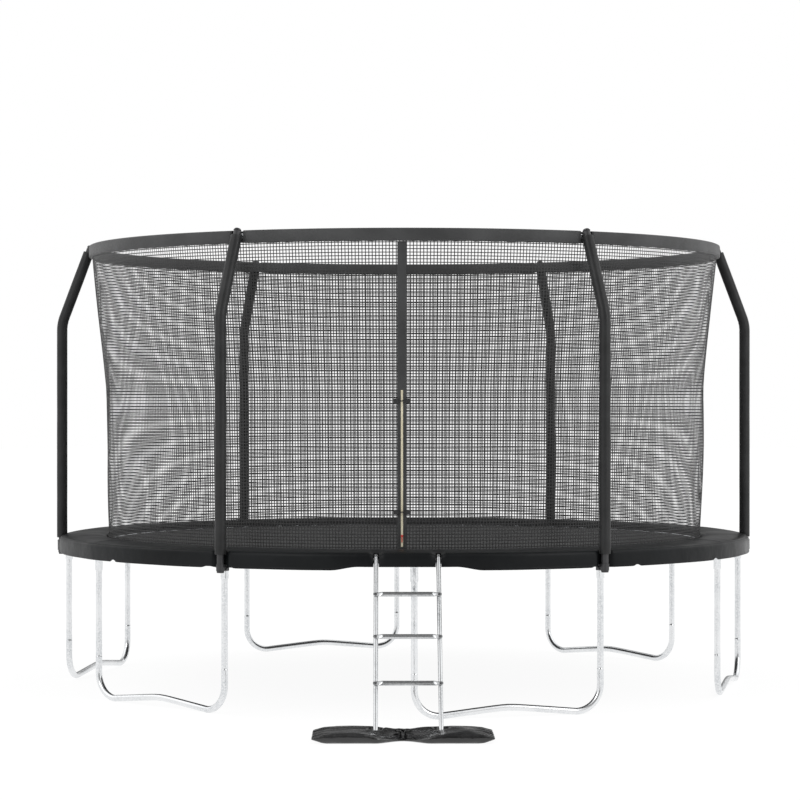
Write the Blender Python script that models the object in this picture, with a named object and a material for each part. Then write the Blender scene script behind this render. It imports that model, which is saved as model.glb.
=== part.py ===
"""Round backyard trampoline with a safety net, a padded cover, a hook-on ladder and a sand bag.

Metres, +Z up, standing on z = 0. The origin is the middle of the footprint on the ground. The trampoline's
own axis stands a little behind it, at AXIS_Y, because the ladder and its bag reach out to the front (-Y).
"""

import math

import bmesh
import bpy
from mathutils import Matrix, Vector

# Driving dimensions.
AXIS_Y = 0.4823
CLEAR = 0.0005          # the gap between two pieces that touch
SIDES = 10              # of a round tube
STEP_DEG = 5.0          # one facet of a tube that is bent round the axis
FACET_DEG = 6.0         # one facet of a flat ring or wall round the axis

FRAME_RADIUS = 2.116    # axis to the middle of the frame tube
FRAME_Z = 0.872
FRAME_TUBE = 0.019      # tube radius of frame and legs
SPIGOT_LENGTH = 0.050
SOCKET_RADIUS = 0.0225
SOCKET_BORE = 0.0203
SOCKET_BOTTOM = 0.765
LEG_TOP = 0.850
LEG_BEND = 0.145        # bend radius of the leg's corners
LEG_RISE = 0.035        # the middle of a leg stands this much above its feet
LEG_BASE_Z = 0.0191     # middle of the tube where it lies on the ground

POLE_RADIUS = 2.160     # axis to the straight part of a pole
POLE_TUBE = 0.021
POLE_BOTTOM = 0.800
POLE_BEND_Z = 2.252
POLE_LEAN = math.radians(20.5)
POLE_BEND = 0.25
POLE_TOP_Z = 2.728
FOAM_RADIUS = 0.033
FOAM_BORE = 0.0215
FOAM_BOTTOM = 0.904
FOAM_TOP_Z = 2.700
CLAMP_WALL = 0.003
CLAMP_LOW = 0.811
CLAMP_HIGH = 0.849

RING_RADIUS = 1.962     # axis to the middle of the top ring's tube
RING_Z = 2.700
RING_TUBE = 0.0125
SLEEVE_OUTER = 1.983
SLEEVE_INNER = 1.944
SLEEVE_LOW = 2.657
SLEEVE_HIGH = 2.731
SLEEVE_WALL = 0.003
SLEEVE_STRIP = 1.953    # the sleeve's inner wall alone passes behind each pole
WINDOW_HALF = 0.037

MAT_RADIUS = 1.850
MAT_LOW = 0.887
MAT_HIGH = 0.893
SPRING_INNER = 1.856
SPRING_OUTER = 2.090
SPRING_LOW = 0.866
SPRING_HIGH = 0.889

# The net's outer radius and height, bottom to top. The entrance lies on the lowest, straight stretch.
NET_PROFILE = ((1.8590, 0.896), (1.8840, 1.830), (1.9300, 2.270), (1.9645, 2.6565))
NET_WALL = 0.003
ENTRANCE_DEG = 268.1    # the facet of the net that carries the zip, seen from above
BAND_HALF = 0.0255
BAND_WALL = 0.0015
ZIP_HALF = 0.006
ZIP_WALL = 0.003
ZIP_LOW = 0.945
ZIP_HIGH = 1.825
SLIDER_Z = 1.000
BUCKLE_Z = (1.140, 1.765)
BUCKLE_GAP_HALF = 0.0215
BUCKLE_WIDTH = 0.025
BUCKLE_HALF_HEIGHT = 0.014
BUCKLE_FRONT = 0.018
TONGUE_HALF_HEIGHT = 0.003
TONGUE_NEAR = 0.0128
TONGUE_FAR = 0.0158
TONGUE_GRIP = 0.012     # how far the tongue reaches into its socket

# The safety pad's section, radius and height: inner edge, crown, outer edge, skirt.
PAD_SECTION = ((1.872, 0.8925), (1.872, 0.921), (1.900, 0.933), (2.010, 0.938), (2.130, 0.930),
               (2.156, 0.919), (2.163, 0.903), (2.164, 0.827), (2.156, 0.827), (2.155, 0.8925))
POLE_NOTCH_HALF = 0.038
POLE_NOTCH_FROM = 2.120

LADDER_DEG = 268.94
LADDER_LEAN = math.radians(41.0)
LADDER_TUBE = 0.0125
LADDER_HALF_WIDTH = 0.172
LADDER_REACH = math.sqrt(FRAME_RADIUS ** 2 - LADDER_HALF_WIDTH ** 2)    # axis to the line both hooks turn on
HOOK_BEND = 0.0345      # middle of the hook's tube to the middle of the frame tube
HOOK_TAIL = 0.022       # straight end of the hook inside the frame
HOOK_SOCKET = 0.178     # along the rail, from the end of the hook's bend to the rail's top
HOOK_SPIGOT = 0.0102
HOOK_SPIGOT_LENGTH = 0.045
RAIL_END = 1.145        # along the rail, from the end of the hook's bend to its foot
RUNG_PLACES = (0.256, 0.539, 0.843)
RUNG_RADIUS = 0.014
RUNG_TAB = 0.0025       # half the thickness of a rung's flattened end
RUNG_ROUND_TO = 0.132
RUNG_FLAT_FROM = 0.152
RUNG_END = 0.186
HOOK_SLOT_HALF = 0.019
HOOK_SLOT_FROM = 2.060
HOOK_SLOT_TOP = 0.923

BAG_SHIFT = -0.029      # sideways from the middle of the ladder
BAG_BACK = 2.775        # distance from the trampoline's axis
BAG_FRONT = 3.126
BAG_HALF_LENGTH = 0.475
FOOT_POCKET_FLOOR = 0.0205

AXIS = Vector((0.0, AXIS_Y, 0.0))


def clear_scene():
    for old in list(bpy.data.objects):
        bpy.data.objects.remove(old, do_unlink=True)


def material(name, colour, roughness, metallic=0.0):
    made = bpy.data.materials.new(name)
    made.use_nodes = True
    shader = made.node_tree.nodes["Principled BSDF"]
    shader.inputs["Base Color"].default_value = (*colour, 1.0)
    shader.inputs["Roughness"].default_value = roughness
    shader.inputs["Metallic"].default_value = metallic
    return made


def loft(rings, loop=False):
    """A closed body through rings of equally many points. With loop, the last ring meets the first."""
    bm = bmesh.new()
    made = [[bm.verts.new(point) for point in ring] for ring in rings]
    pairs = list(zip(made, made[1:] + made[:1])) if loop else list(zip(made, made[1:]))
    for one, other in pairs:
        for a, b, c, d in zip(one, one[1:] + one[:1], other[1:] + other[:1], other):
            bm.faces.new((a, b, c, d))
    if not loop:
        bm.faces.new(made[0])
        bm.faces.new(made[-1])
    bmesh.ops.recalc_face_normals(bm, faces=bm.faces)
    mesh = bpy.data.meshes.new("loft")
    bm.to_mesh(mesh)
    bm.free()
    return mesh


def circle_rings(path, radii, normal, sides=SIDES):
    """Rings round a path that lies in one plane, mitred where it turns, with a radius for each point."""
    rings = []
    for i, (point, radius) in enumerate(zip(path, radii)):
        ahead = next((p - point for p in path[i + 1:] if (p - point).length > 1e-6), None)
        behind = next((point - p for p in reversed(path[:i]) if (point - p).length > 1e-6), None)
        ahead = (ahead or behind).normalized()
        behind = (behind or ahead).normalized()
        along = (ahead + behind).normalized()
        across = normal.cross(along)
        mitre = 1.0 / along.dot(ahead)
        angles = [2 * math.pi * k / sides for k in range(sides)]
        rings.append([point + across * (radius * mitre * math.cos(a)) + normal * (radius * math.sin(a))
                      for a in angles])
    return rings


def tube(path, radius, normal, sides=SIDES):
    return loft(circle_rings(path, [radius] * len(path), normal, sides))


def sleeve(path, outer, bore, normal, sides=SIDES):
    """A hollow tube with open ends."""
    outside = circle_rings(path, [outer] * len(path), normal, sides)
    inside = circle_rings(path, [bore] * len(path), normal, sides)
    return loft(outside + inside[::-1], loop=True)


def around(section, phase_deg=0.0):
    """A ring whose section of radius and height points runs once round the axis."""
    rings = []
    for k in range(round(360 / FACET_DEG)):
        angle = math.radians(phase_deg + k * FACET_DEG)
        rings.append([Vector((r * math.cos(angle), r * math.sin(angle), z)) for r, z in section])
    return loft(rings, loop=True)


def block(low, high, matrix=None):
    """A box from its lowest to its highest corner, in the axes of the matrix."""
    bm = bmesh.new()
    bmesh.ops.create_cube(bm, size=1.0)
    size = [b - a for a, b in zip(low, high)]
    middle = [(a + b) / 2 for a, b in zip(low, high)]
    bmesh.ops.transform(bm, matrix=Matrix.Translation(middle) @ Matrix.Diagonal((*size, 1.0)), verts=bm.verts)
    if matrix is not None:
        bmesh.ops.transform(bm, matrix=matrix, verts=bm.verts)
    mesh = bpy.data.meshes.new("block")
    bm.to_mesh(mesh)
    bm.free()
    return mesh


def joined(meshes):
    """Several bodies as one mesh, for cutting."""
    bm = bmesh.new()
    for mesh in meshes:
        bm.from_mesh(mesh)
    mesh = bpy.data.meshes.new("joined")
    bm.to_mesh(mesh)
    bm.free()
    return mesh


def combined(mesh, tool, operation):
    """The mesh after an exact Boolean with the tool."""
    body = bpy.data.objects.new("body", mesh)
    other = bpy.data.objects.new("tool", tool)
    for each in (body, other):
        bpy.context.collection.objects.link(each)
    boolean = body.modifiers.new("boolean", "BOOLEAN")
    boolean.operation = operation
    boolean.solver = "EXACT"
    boolean.object = other
    bpy.context.view_layer.update()
    depsgraph = bpy.context.evaluated_depsgraph_get()
    result = bpy.data.meshes.new_from_object(body.evaluated_get(depsgraph))
    bpy.data.objects.remove(body)
    bpy.data.objects.remove(other)
    return result


def place(name, mesh, finish, matrix=None, parent=None, smooth_deg=40.0):
    """Puts a mesh into the scene as a named sub-part, at a place in the trampoline's or a parent's axes."""
    mesh = mesh.copy()
    mesh.name = name
    mesh.materials.clear()
    mesh.materials.append(finish)
    mesh.shade_smooth()
    mesh.set_sharp_from_angle(angle=math.radians(smooth_deg))
    made = bpy.data.objects.new(name, mesh)
    bpy.context.collection.objects.link(made)
    if parent is not None:
        made.parent = parent
        made.matrix_local = matrix or Matrix()
    else:
        made.matrix_world = Matrix.Translation(AXIS) @ (matrix or Matrix())
    return made


def turn(degrees):
    return Matrix.Rotation(math.radians(degrees), 4, "Z")


def facing(degrees, distance, height):
    """Axes at a place round the trampoline: +X to the right seen from outside, -Y outwards, +Z up."""
    return turn(degrees) @ Matrix.Translation((distance, 0, height)) @ Matrix.Rotation(math.radians(90), 4, "Z")


def pivot(name, matrix):
    made = bpy.data.objects.new(name, None)
    bpy.context.collection.objects.link(made)
    made.matrix_world = Matrix.Translation(AXIS) @ matrix
    return made


def arc_points(centre, radius, start, end, count, right, up):
    """Points on an arc in the plane of two directions, with its angles in radians from the first."""
    angles = [start + (end - start) * k / count for k in range(count + 1)]
    return [centre + right * (radius * math.cos(a)) + up * (radius * math.sin(a)) for a in angles]


def curved_tube(radius, height, tube_radius, start_deg, end_deg):
    """A tube bent round the axis: a bore at its first end takes the spigot at its neighbour's last end."""
    spigot_deg = math.degrees(SPIGOT_LENGTH / radius)
    gap_deg = math.degrees(CLEAR / radius)

    def on_circle(degrees):
        angle = math.radians(degrees)
        return Vector((radius * math.cos(angle), radius * math.sin(angle), height))

    first = start_deg + gap_deg
    bore = tube_radius - 0.002
    spigot = bore - 0.0006
    steps = round((end_deg - start_deg) / STEP_DEG)
    angles = [first] + [start_deg + STEP_DEG * k for k in range(1, steps)] + [end_deg]
    places = [first + spigot_deg + gap_deg, first] + angles + [end_deg, end_deg + spigot_deg]
    radii = [bore, bore] + [tube_radius] * len(angles) + [spigot, spigot]
    rings = []
    for degrees, thick in zip(places, radii):
        middle = on_circle(degrees)
        out = Vector((math.cos(math.radians(degrees)), math.sin(math.radians(degrees)), 0))
        rings.append([middle + out * (thick * math.cos(2 * math.pi * k / SIDES))
                      + Vector((0, 0, thick * math.sin(2 * math.pi * k / SIDES))) for k in range(SIDES)])
    return loft(rings)


def build_frame(steel):
    """Six rails make the ring. Each carries two welded drop sockets for the legs."""
    rail = curved_tube(FRAME_RADIUS, FRAME_Z, FRAME_TUBE, -15, 45)
    for degrees in (0, 30):
        stand = turn(degrees) @ Vector((FRAME_RADIUS, 0, 0))
        down = [stand + Vector((0, 0, FRAME_Z)), stand + Vector((0, 0, SOCKET_BOTTOM))]
        rail = combined(rail, tube(down, SOCKET_RADIUS, Vector((0, 1, 0))), "UNION")
        bore = [stand + Vector((0, 0, LEG_TOP + CLEAR)), stand + Vector((0, 0, SOCKET_BOTTOM - 0.01))]
        rail = combined(rail, tube(bore, SOCKET_BORE, Vector((0, 1, 0))), "DIFFERENCE")
    for k in range(6):
        place(f"frame_rail_{k + 1}", rail, steel, turn(60 * k))


def build_legs(steel):
    """A leg is one bent tube: two uprights, round corners, and a bottom that rises in its middle."""
    half = FRAME_RADIUS * math.sin(math.radians(15))
    inset = FRAME_RADIUS * math.cos(math.radians(15))
    right, up = Vector((0, 1, 0)), Vector((0, 0, 1))
    middle = Vector((inset, 0, 0))
    corner = middle - right * (half - LEG_BEND) + up * (LEG_BASE_Z + LEG_BEND)
    path = [middle - right * half + up * LEG_TOP]
    path += arc_points(corner, LEG_BEND, math.pi, 1.5 * math.pi, 4, right, up)
    flat = half - LEG_BEND
    for k in range(1, 8):
        along = -flat + 2 * flat * k / 8
        rise = LEG_RISE * 0.5 * (1 + math.cos(math.pi * along / flat))
        path.append(middle + right * along + up * (LEG_BASE_Z + rise))
    other = middle + right * flat + up * (LEG_BASE_Z + LEG_BEND)
    path += arc_points(other, LEG_BEND, -0.5 * math.pi, 0.0, 4, right, up)
    path.append(middle + right * half + up * LEG_TOP)
    leg = tube(path, FRAME_TUBE, Vector((1, 0, 0)))
    for k in range(6):
        place(f"leg_{k + 1}", leg, steel, turn(45 + 60 * k))


def pole_path(low, high):
    """The middle of a pole in the XZ plane, straight up and then leaning in towards the axis."""
    reach = POLE_BEND * math.tan(POLE_LEAN / 2)
    centre = Vector((POLE_RADIUS - POLE_BEND, 0, POLE_BEND_Z - reach))
    bend = arc_points(centre, POLE_BEND, 0.0, POLE_LEAN, 3, Vector((1, 0, 0)), Vector((0, 0, 1)))
    return [Vector((POLE_RADIUS, 0, low))] + bend + [pole_point(high)]


def pole_point(height):
    """Where the leaning part of a pole is at a height."""
    return Vector((POLE_RADIUS - (height - POLE_BEND_Z) * math.tan(POLE_LEAN), 0, height))


def build_poles(black_steel, foam, plastic, steel):
    """Poles with foam sleeves and end caps, each strapped to a leg socket by a clamp."""
    sideways = Vector((0, 1, 0))
    pole = tube(pole_path(POLE_BOTTOM, POLE_TOP_Z), POLE_TUBE, sideways)
    pole = combined(pole, ring_room(), "DIFFERENCE")
    cover = sleeve(pole_path(FOAM_BOTTOM, FOAM_TOP_Z), FOAM_RADIUS, FOAM_BORE, sideways)
    cover = combined(cover, ring_room(), "DIFFERENCE")

    up = (pole_point(POLE_TOP_Z) - pole_point(FOAM_TOP_Z)).normalized()
    profile = ((0.0005, 0.0225), (0.007, 0.0225), (0.013, 0.017), (0.0155, 0.008))
    path = [pole_point(POLE_TOP_Z) + up * along for along, _ in profile]
    cap = loft(circle_rings(path, [radius for _, radius in profile], sideways))

    clamp = loft(clamp_rings(CLAMP_WALL + CLEAR) + clamp_rings(CLEAR)[::-1], loop=True)
    for k in range(6):
        place(f"pole_{k + 1}", pole, black_steel, turn(60 * k))
        place(f"foam_sleeve_{k + 1}", cover, foam, turn(60 * k))
        place(f"pole_cap_{k + 1}", cap, plastic, turn(60 * k))
        place(f"pole_clamp_{k + 1}", clamp, steel, turn(60 * k))


def ring_room():
    """The space that the top ring needs through poles and foam."""
    thick = RING_TUBE + 0.0012
    angles = [math.radians(45 * k) for k in range(8)]
    return around([(RING_RADIUS + thick * math.cos(a), RING_Z + thick * math.sin(a)) for a in angles])


def clamp_rings(margin):
    """The bottom and top outline of a band round a leg socket and the pole beside it."""
    outer = POLE_TUBE + margin
    inner = SOCKET_RADIUS + margin
    half_turn = [math.radians(-90 + 22.5 * k) for k in range(9)]
    outline = [(POLE_RADIUS + outer * math.cos(a), outer * math.sin(a)) for a in half_turn]
    outline += [(FRAME_RADIUS - inner * math.cos(a), -inner * math.sin(a)) for a in half_turn]
    return [[Vector((x, y, z)) for x, y in outline] for z in (CLAMP_LOW, CLAMP_HIGH)]


def build_top_ring(steel, fabric):
    """Three bent tubes in a fabric sleeve, which is open where the poles pass."""
    for k in range(3):
        tube_third = curved_tube(RING_RADIUS, RING_Z, RING_TUBE, 30, 150)
        place(f"top_ring_{k + 1}", tube_third, steel, turn(120 * k))
    outside = ((SLEEVE_INNER, SLEEVE_LOW), (SLEEVE_OUTER, SLEEVE_LOW),
               (SLEEVE_OUTER, SLEEVE_HIGH), (SLEEVE_INNER, SLEEVE_HIGH))
    inside = ((SLEEVE_INNER + SLEEVE_WALL, SLEEVE_LOW + SLEEVE_WALL),
              (SLEEVE_OUTER - SLEEVE_WALL, SLEEVE_LOW + SLEEVE_WALL),
              (SLEEVE_OUTER - SLEEVE_WALL, SLEEVE_HIGH - SLEEVE_WALL),
              (SLEEVE_INNER + SLEEVE_WALL, SLEEVE_HIGH - SLEEVE_WALL))
    band = combined(around(outside), around(inside), "DIFFERENCE")
    windows = [block((SLEEVE_STRIP, -WINDOW_HALF, SLEEVE_LOW - 0.02),
                     (SLEEVE_OUTER + 0.02, WINDOW_HALF, SLEEVE_HIGH + 0.02), turn(60 * k)) for k in range(6)]
    band = combined(band, joined(windows), "DIFFERENCE")
    place("ring_sleeve", band, fabric)


def net_section():
    outside = list(NET_PROFILE)
    inside = [(r - NET_WALL, z) for r, z in reversed(NET_PROFILE)]
    return outside + inside


def net_face(z):
    """Distance from the axis to the middle of the net's entrance facet, at a height."""
    for (r0, z0), (r1, z1) in zip(NET_PROFILE, NET_PROFILE[1:]):
        if z <= z1 + 1e-9:
            break
    radius = r0 + (r1 - r0) * (z - z0) / (z1 - z0)
    return radius * math.cos(math.radians(FACET_DEG / 2))


def strip(half_width, near, far, heights):
    """A flat strip on the entrance facet, between two distances out from the net."""
    rings = []
    for z in heights:
        base = net_face(z)
        corners = ((base + near, -half_width), (base + far, -half_width),
                   (base + far, half_width), (base + near, half_width))
        rings.append([Vector((x, y, z)) for x, y in corners])
    return loft(rings)


def build_net(mesh_fabric, webbing, zip_plastic, slider_plastic, plastic):
    """The net wall, its webbing band, and the zip and two buckles that close the way in."""
    phase = ENTRANCE_DEG - FACET_DEG / 2
    place("net", around(net_section(), phase), mesh_fabric)
    kinks = [z for _, z in NET_PROFILE[1:-1]]
    band_low = 0.905
    band = strip(BAND_HALF, CLEAR, CLEAR + BAND_WALL, [band_low] + kinks + [NET_PROFILE[-1][1]])
    place("entrance_band", band, webbing, turn(ENTRANCE_DEG), smooth_deg=20)

    zip_near = 2 * CLEAR + BAND_WALL
    chain = strip(ZIP_HALF, zip_near, zip_near + ZIP_WALL, [ZIP_LOW, ZIP_HIGH])
    place("zip_chain", chain, zip_plastic, turn(ENTRANCE_DEG), smooth_deg=20)

    rise = math.atan2(net_face(SLIDER_Z + 0.5) - net_face(SLIDER_Z), 0.5)
    tilt = Matrix.Rotation(rise, 4, "X")

    def on_zip(z):
        return facing(ENTRANCE_DEG, net_face(z), z) @ tilt

    slider_at = pivot("slider_guide", on_zip(SLIDER_Z))
    front = zip_near + ZIP_WALL + CLEAR
    outline = ((-0.0075, 0.000), (0.0075, 0.000), (0.0060, 0.012), (-0.0060, 0.012))
    body = loft([[Vector((x, -y, z)) for x, z in outline] for y in (front, front + 0.0035)])
    tab = block((-0.004, -front - 0.0050, -0.034), (0.004, -front - 0.0025, 0.008))
    place("zip_slider", combined(body, tab, "UNION"), slider_plastic, parent=slider_at, smooth_deg=20)

    for name, z in zip(("lower", "upper"), BUCKLE_Z):
        guide = pivot(f"buckle_guide_{name}", on_zip(z))
        near = zip_near + CLEAR
        far_side = BUCKLE_GAP_HALF + BUCKLE_WIDTH
        shell = block((BUCKLE_GAP_HALF, -BUCKLE_FRONT, -BUCKLE_HALF_HEIGHT),
                      (far_side, -near, BUCKLE_HALF_HEIGHT))
        mouth = block((BUCKLE_GAP_HALF - 0.01, -TONGUE_FAR - CLEAR, -TONGUE_HALF_HEIGHT - CLEAR),
                      (BUCKLE_GAP_HALF + TONGUE_GRIP + 0.002, -TONGUE_NEAR + CLEAR, TONGUE_HALF_HEIGHT + CLEAR))
        place(f"buckle_socket_{name}", combined(shell, mouth, "DIFFERENCE"), plastic, parent=guide, smooth_deg=20)
        grip = block((-far_side, -BUCKLE_FRONT, -BUCKLE_HALF_HEIGHT),
                     (-BUCKLE_GAP_HALF, -near, BUCKLE_HALF_HEIGHT))
        tongue = block((-BUCKLE_GAP_HALF - 0.01, -TONGUE_FAR, -TONGUE_HALF_HEIGHT),
                       (BUCKLE_GAP_HALF + TONGUE_GRIP, -TONGUE_NEAR, TONGUE_HALF_HEIGHT))
        place(f"buckle_tongue_{name}", combined(grip, tongue, "UNION"), plastic, parent=guide, smooth_deg=20)


def hook_slots():
    """Room for the ladder's hooks, in trampoline axes."""
    boxes = []
    for side in (-1, 1):
        middle = side * LADDER_HALF_WIDTH
        boxes.append(block((HOOK_SLOT_FROM, middle - HOOK_SLOT_HALF, 0.80),
                           (FRAME_RADIUS + 0.12, middle + HOOK_SLOT_HALF, HOOK_SLOT_TOP), turn(LADDER_DEG)))
    return joined(boxes)


def build_bed(mat_fabric, spring_steel, vinyl):
    """The jumping mat, the ring of springs that holds it, and the pad that covers them."""
    count = round(360 / FACET_DEG)
    disc = [[Vector((MAT_RADIUS * math.cos(2 * math.pi * k / count),
                     MAT_RADIUS * math.sin(2 * math.pi * k / count), z)) for k in range(count)]
            for z in (MAT_LOW - MAT_HIGH, 0.0)]
    place("mat", loft(disc), mat_fabric, Matrix.Translation((0, 0, MAT_HIGH)))
    slots = hook_slots()
    springs = around(((SPRING_INNER, SPRING_LOW), (SPRING_OUTER, SPRING_LOW),
                      (SPRING_OUTER, SPRING_HIGH), (SPRING_INNER, SPRING_HIGH)))
    place("spring_ring", combined(springs, slots, "DIFFERENCE"), spring_steel)
    notches = [block((POLE_NOTCH_FROM, -POLE_NOTCH_HALF, 0.80), (FRAME_RADIUS + 0.12, POLE_NOTCH_HALF, 0.96),
                     turn(60 * k)) for k in range(6)]
    pad = combined(around(PAD_SECTION), joined(notches), "DIFFERENCE")
    place("safety_pad", combined(pad, slots, "DIFFERENCE"), vinyl)


def build_ladder(steel):
    """Two leaning rails with hooks over the frame tube, and three rungs with flattened, bolted ends."""
    hinge = pivot("ladder_hinge", facing(LADDER_DEG, LADDER_REACH, FRAME_Z))
    out, up, side = Vector((0, -1, 0)), Vector((0, 0, 1)), Vector((1, 0, 0))
    down = out * math.sin(LADDER_LEAN) - up * math.cos(LADDER_LEAN)
    front = out * math.cos(LADDER_LEAN) + up * math.sin(LADDER_LEAN)
    start = front * HOOK_BEND

    for name, sign in (("left", -1), ("right", 1)):
        shift = side * (sign * LADDER_HALF_WIDTH)
        bend = arc_points(shift, HOOK_BEND, LADDER_LEAN, math.pi, 6, out, up)
        tail = shift - out * HOOK_BEND - up * HOOK_TAIL
        top = shift + start + down * (HOOK_SOCKET - CLEAR)
        path = [top + down * HOOK_SPIGOT_LENGTH, top, top] + bend + [tail]
        radii = [HOOK_SPIGOT] * 2 + [LADDER_TUBE] * (len(bend) + 2)
        place(f"ladder_hook_{name}", loft(circle_rings(path, radii, side)), steel, parent=hinge)

        mouth = shift + start + down * HOOK_SOCKET
        foot = shift + start + down * RAIL_END
        bottom = mouth + down * (HOOK_SPIGOT_LENGTH + 0.002)
        bore = HOOK_SPIGOT + 0.0006
        rings = circle_rings([bottom, mouth], [bore, bore], side)
        rings += circle_rings([mouth, foot], [LADDER_TUBE] * 2, -side)
        rings = rings[:2] + [ring_like(rings[0], ring) for ring in rings[2:]]
        place(f"ladder_rail_{name}", loft(rings), steel, parent=hinge)

    for number, along in enumerate(RUNG_PLACES, start=1):
        middle = start + down * along + front * (LADDER_TUBE + CLEAR + RUNG_TAB)
        stations = ((-RUNG_END, 0.010, RUNG_TAB), (-RUNG_FLAT_FROM, 0.013, RUNG_TAB),
                    (-RUNG_ROUND_TO, RUNG_RADIUS, RUNG_RADIUS), (RUNG_ROUND_TO, RUNG_RADIUS, RUNG_RADIUS),
                    (RUNG_FLAT_FROM, 0.013, RUNG_TAB), (RUNG_END, 0.010, RUNG_TAB))
        rings = []
        for x, tall, deep in stations:
            angles = [2 * math.pi * k / SIDES for k in range(SIDES)]
            rings.append([middle + side * x + down * (tall * math.cos(a)) + front * (deep * math.sin(a))
                          for a in angles])
        place(f"rung_{number}", loft(rings), steel, parent=hinge)


def ring_like(pattern, ring):
    """The ring's points in the order in which they lie beside the pattern's, so a loft doesn't twist."""
    middle = sum(pattern, Vector()) / len(pattern)
    centre = sum(ring, Vector()) / len(ring)
    return [max(ring, key=lambda p, q=q: (p - centre).normalized().dot((q - middle).normalized()))
            for q in pattern]


def bag_ring(x):
    """Section of the bag at a distance along it: full in each half, gathered in the middle and at the ends."""
    share = abs(x) / BAG_HALF_LENGTH
    full = math.sin(math.pi * min(1.0, max(0.0, share)) ** 0.8) ** 0.5 if 0 < share < 1 else 0.0
    narrow = 0.45 + 0.55 * full if share < 0.6 else 0.86 + 0.14 * full
    height = 0.050 + 0.006 * full if share < 0.6 else 0.016 + 0.040 * full
    half = (BAG_FRONT - BAG_BACK) / 2 * narrow
    centre = (BAG_FRONT + BAG_BACK) / 2
    outline = ((-0.90, 0.0), (-1.0, 0.35), (-0.86, 0.85), (-0.40, 1.0), (0.30, 0.96), (0.84, 0.80),
               (1.0, 0.32), (0.92, 0.0))
    return [Vector((centre + half * u, x, height * v)) for u, v in outline]


def build_bag(vinyl):
    """A sand-filled bag, tied in its middle, that the ladder's feet stand on."""
    stations = (-1.0, -0.94, -0.72, -0.42, -0.18, -0.06, 0.06, 0.18, 0.42, 0.72, 0.94, 1.0)
    body = loft([bag_ring(BAG_HALF_LENGTH * s) for s in stations])
    foot = LADDER_REACH + HOOK_BEND * math.cos(LADDER_LEAN) + RAIL_END * math.sin(LADDER_LEAN)
    pockets = []
    for side in (-1, 1):
        middle = side * LADDER_HALF_WIDTH - BAG_SHIFT
        pockets.append(block((foot - 0.046, middle - 0.0165, FOOT_POCKET_FLOOR),
                             (foot + 0.085, middle + 0.0165, 0.2)))
    body = combined(body, joined(pockets), "DIFFERENCE")
    place("sand_bag", body, vinyl, turn(LADDER_DEG) @ Matrix.Translation((0, BAG_SHIFT, 0)))


def main():
    clear_scene()
    galvanised = material("galvanised_steel", (0.66, 0.68, 0.70), 0.28, 1.0)
    black_steel = material("black_steel", (0.04, 0.04, 0.04), 0.45, 0.6)
    foam = material("black_foam", (0.045, 0.045, 0.047), 0.7)
    plastic = material("black_plastic", (0.025, 0.025, 0.027), 0.4)
    band_fabric = material("band_fabric", (0.075, 0.075, 0.077), 0.8)
    net_fabric = material("net_fabric", (0.03, 0.03, 0.03), 0.8)
    webbing = material("webbing", (0.05, 0.05, 0.052), 0.85)
    zip_plastic = material("cream_zip", (0.82, 0.78, 0.62), 0.5)
    slider_red = material("red_slider", (0.55, 0.05, 0.04), 0.4)
    mat_fabric = material("mat_fabric", (0.03, 0.03, 0.032), 0.75)
    vinyl = material("black_vinyl", (0.03, 0.032, 0.034), 0.4)

    build_frame(galvanised)
    build_legs(galvanised)
    build_poles(black_steel, foam, plastic, galvanised)
    build_top_ring(galvanised, band_fabric)
    build_net(net_fabric, webbing, zip_plastic, slider_red, plastic)
    build_bed(mat_fabric, galvanised, vinyl)
    build_ladder(galvanised)
    build_bag(vinyl)


main()
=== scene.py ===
import math

import bmesh
import bpy
from mathutils import Matrix, Vector, noise


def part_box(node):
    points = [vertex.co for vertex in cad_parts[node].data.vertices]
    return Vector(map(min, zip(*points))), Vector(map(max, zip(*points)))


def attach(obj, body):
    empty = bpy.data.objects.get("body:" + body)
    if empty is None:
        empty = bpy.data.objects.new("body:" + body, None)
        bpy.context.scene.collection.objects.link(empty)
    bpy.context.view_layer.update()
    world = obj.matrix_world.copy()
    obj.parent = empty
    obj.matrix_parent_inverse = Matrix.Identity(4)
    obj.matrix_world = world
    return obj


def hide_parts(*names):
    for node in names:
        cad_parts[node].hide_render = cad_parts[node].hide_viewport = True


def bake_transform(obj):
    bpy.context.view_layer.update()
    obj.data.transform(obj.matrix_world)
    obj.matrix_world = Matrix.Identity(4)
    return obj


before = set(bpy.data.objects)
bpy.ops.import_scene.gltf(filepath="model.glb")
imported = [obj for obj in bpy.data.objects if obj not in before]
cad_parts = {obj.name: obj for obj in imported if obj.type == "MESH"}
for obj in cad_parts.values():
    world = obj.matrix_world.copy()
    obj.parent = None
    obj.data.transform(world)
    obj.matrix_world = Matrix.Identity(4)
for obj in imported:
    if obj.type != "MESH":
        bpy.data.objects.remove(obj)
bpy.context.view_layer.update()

# ---- Camera ----------------------------------------------------------------------------------
# A long lens at chest height in front of the trampoline, level, and a little to the left of the
# ladder. It looks almost straight at the entrance.
bpy.ops.object.select_all(action="DESELECT")
bpy.ops.object.camera_add(location=(-0.4270, -16.0822, 1.765),
                          rotation=(math.radians(90), 0.0, math.radians(-1.38)))
camera = bpy.context.object
camera.data.lens = 117.81
camera.data.shift_y = 0.001
camera.data.clip_end = 300.0
bpy.context.scene.camera = camera
bpy.context.scene.view_settings.view_transform = "Standard"


# ---- Studio ----------------------------------------------------------------------------------
# A white floor that runs into a white backdrop, with soft light from all round and two large soft
# boxes in front. Darker strips of the room between them give the bright tubes something to mirror.
def join_nodes(tree, a, a_socket, b, b_socket):
    tree.links.new(a.outputs[a_socket], b.inputs[b_socket])


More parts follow.
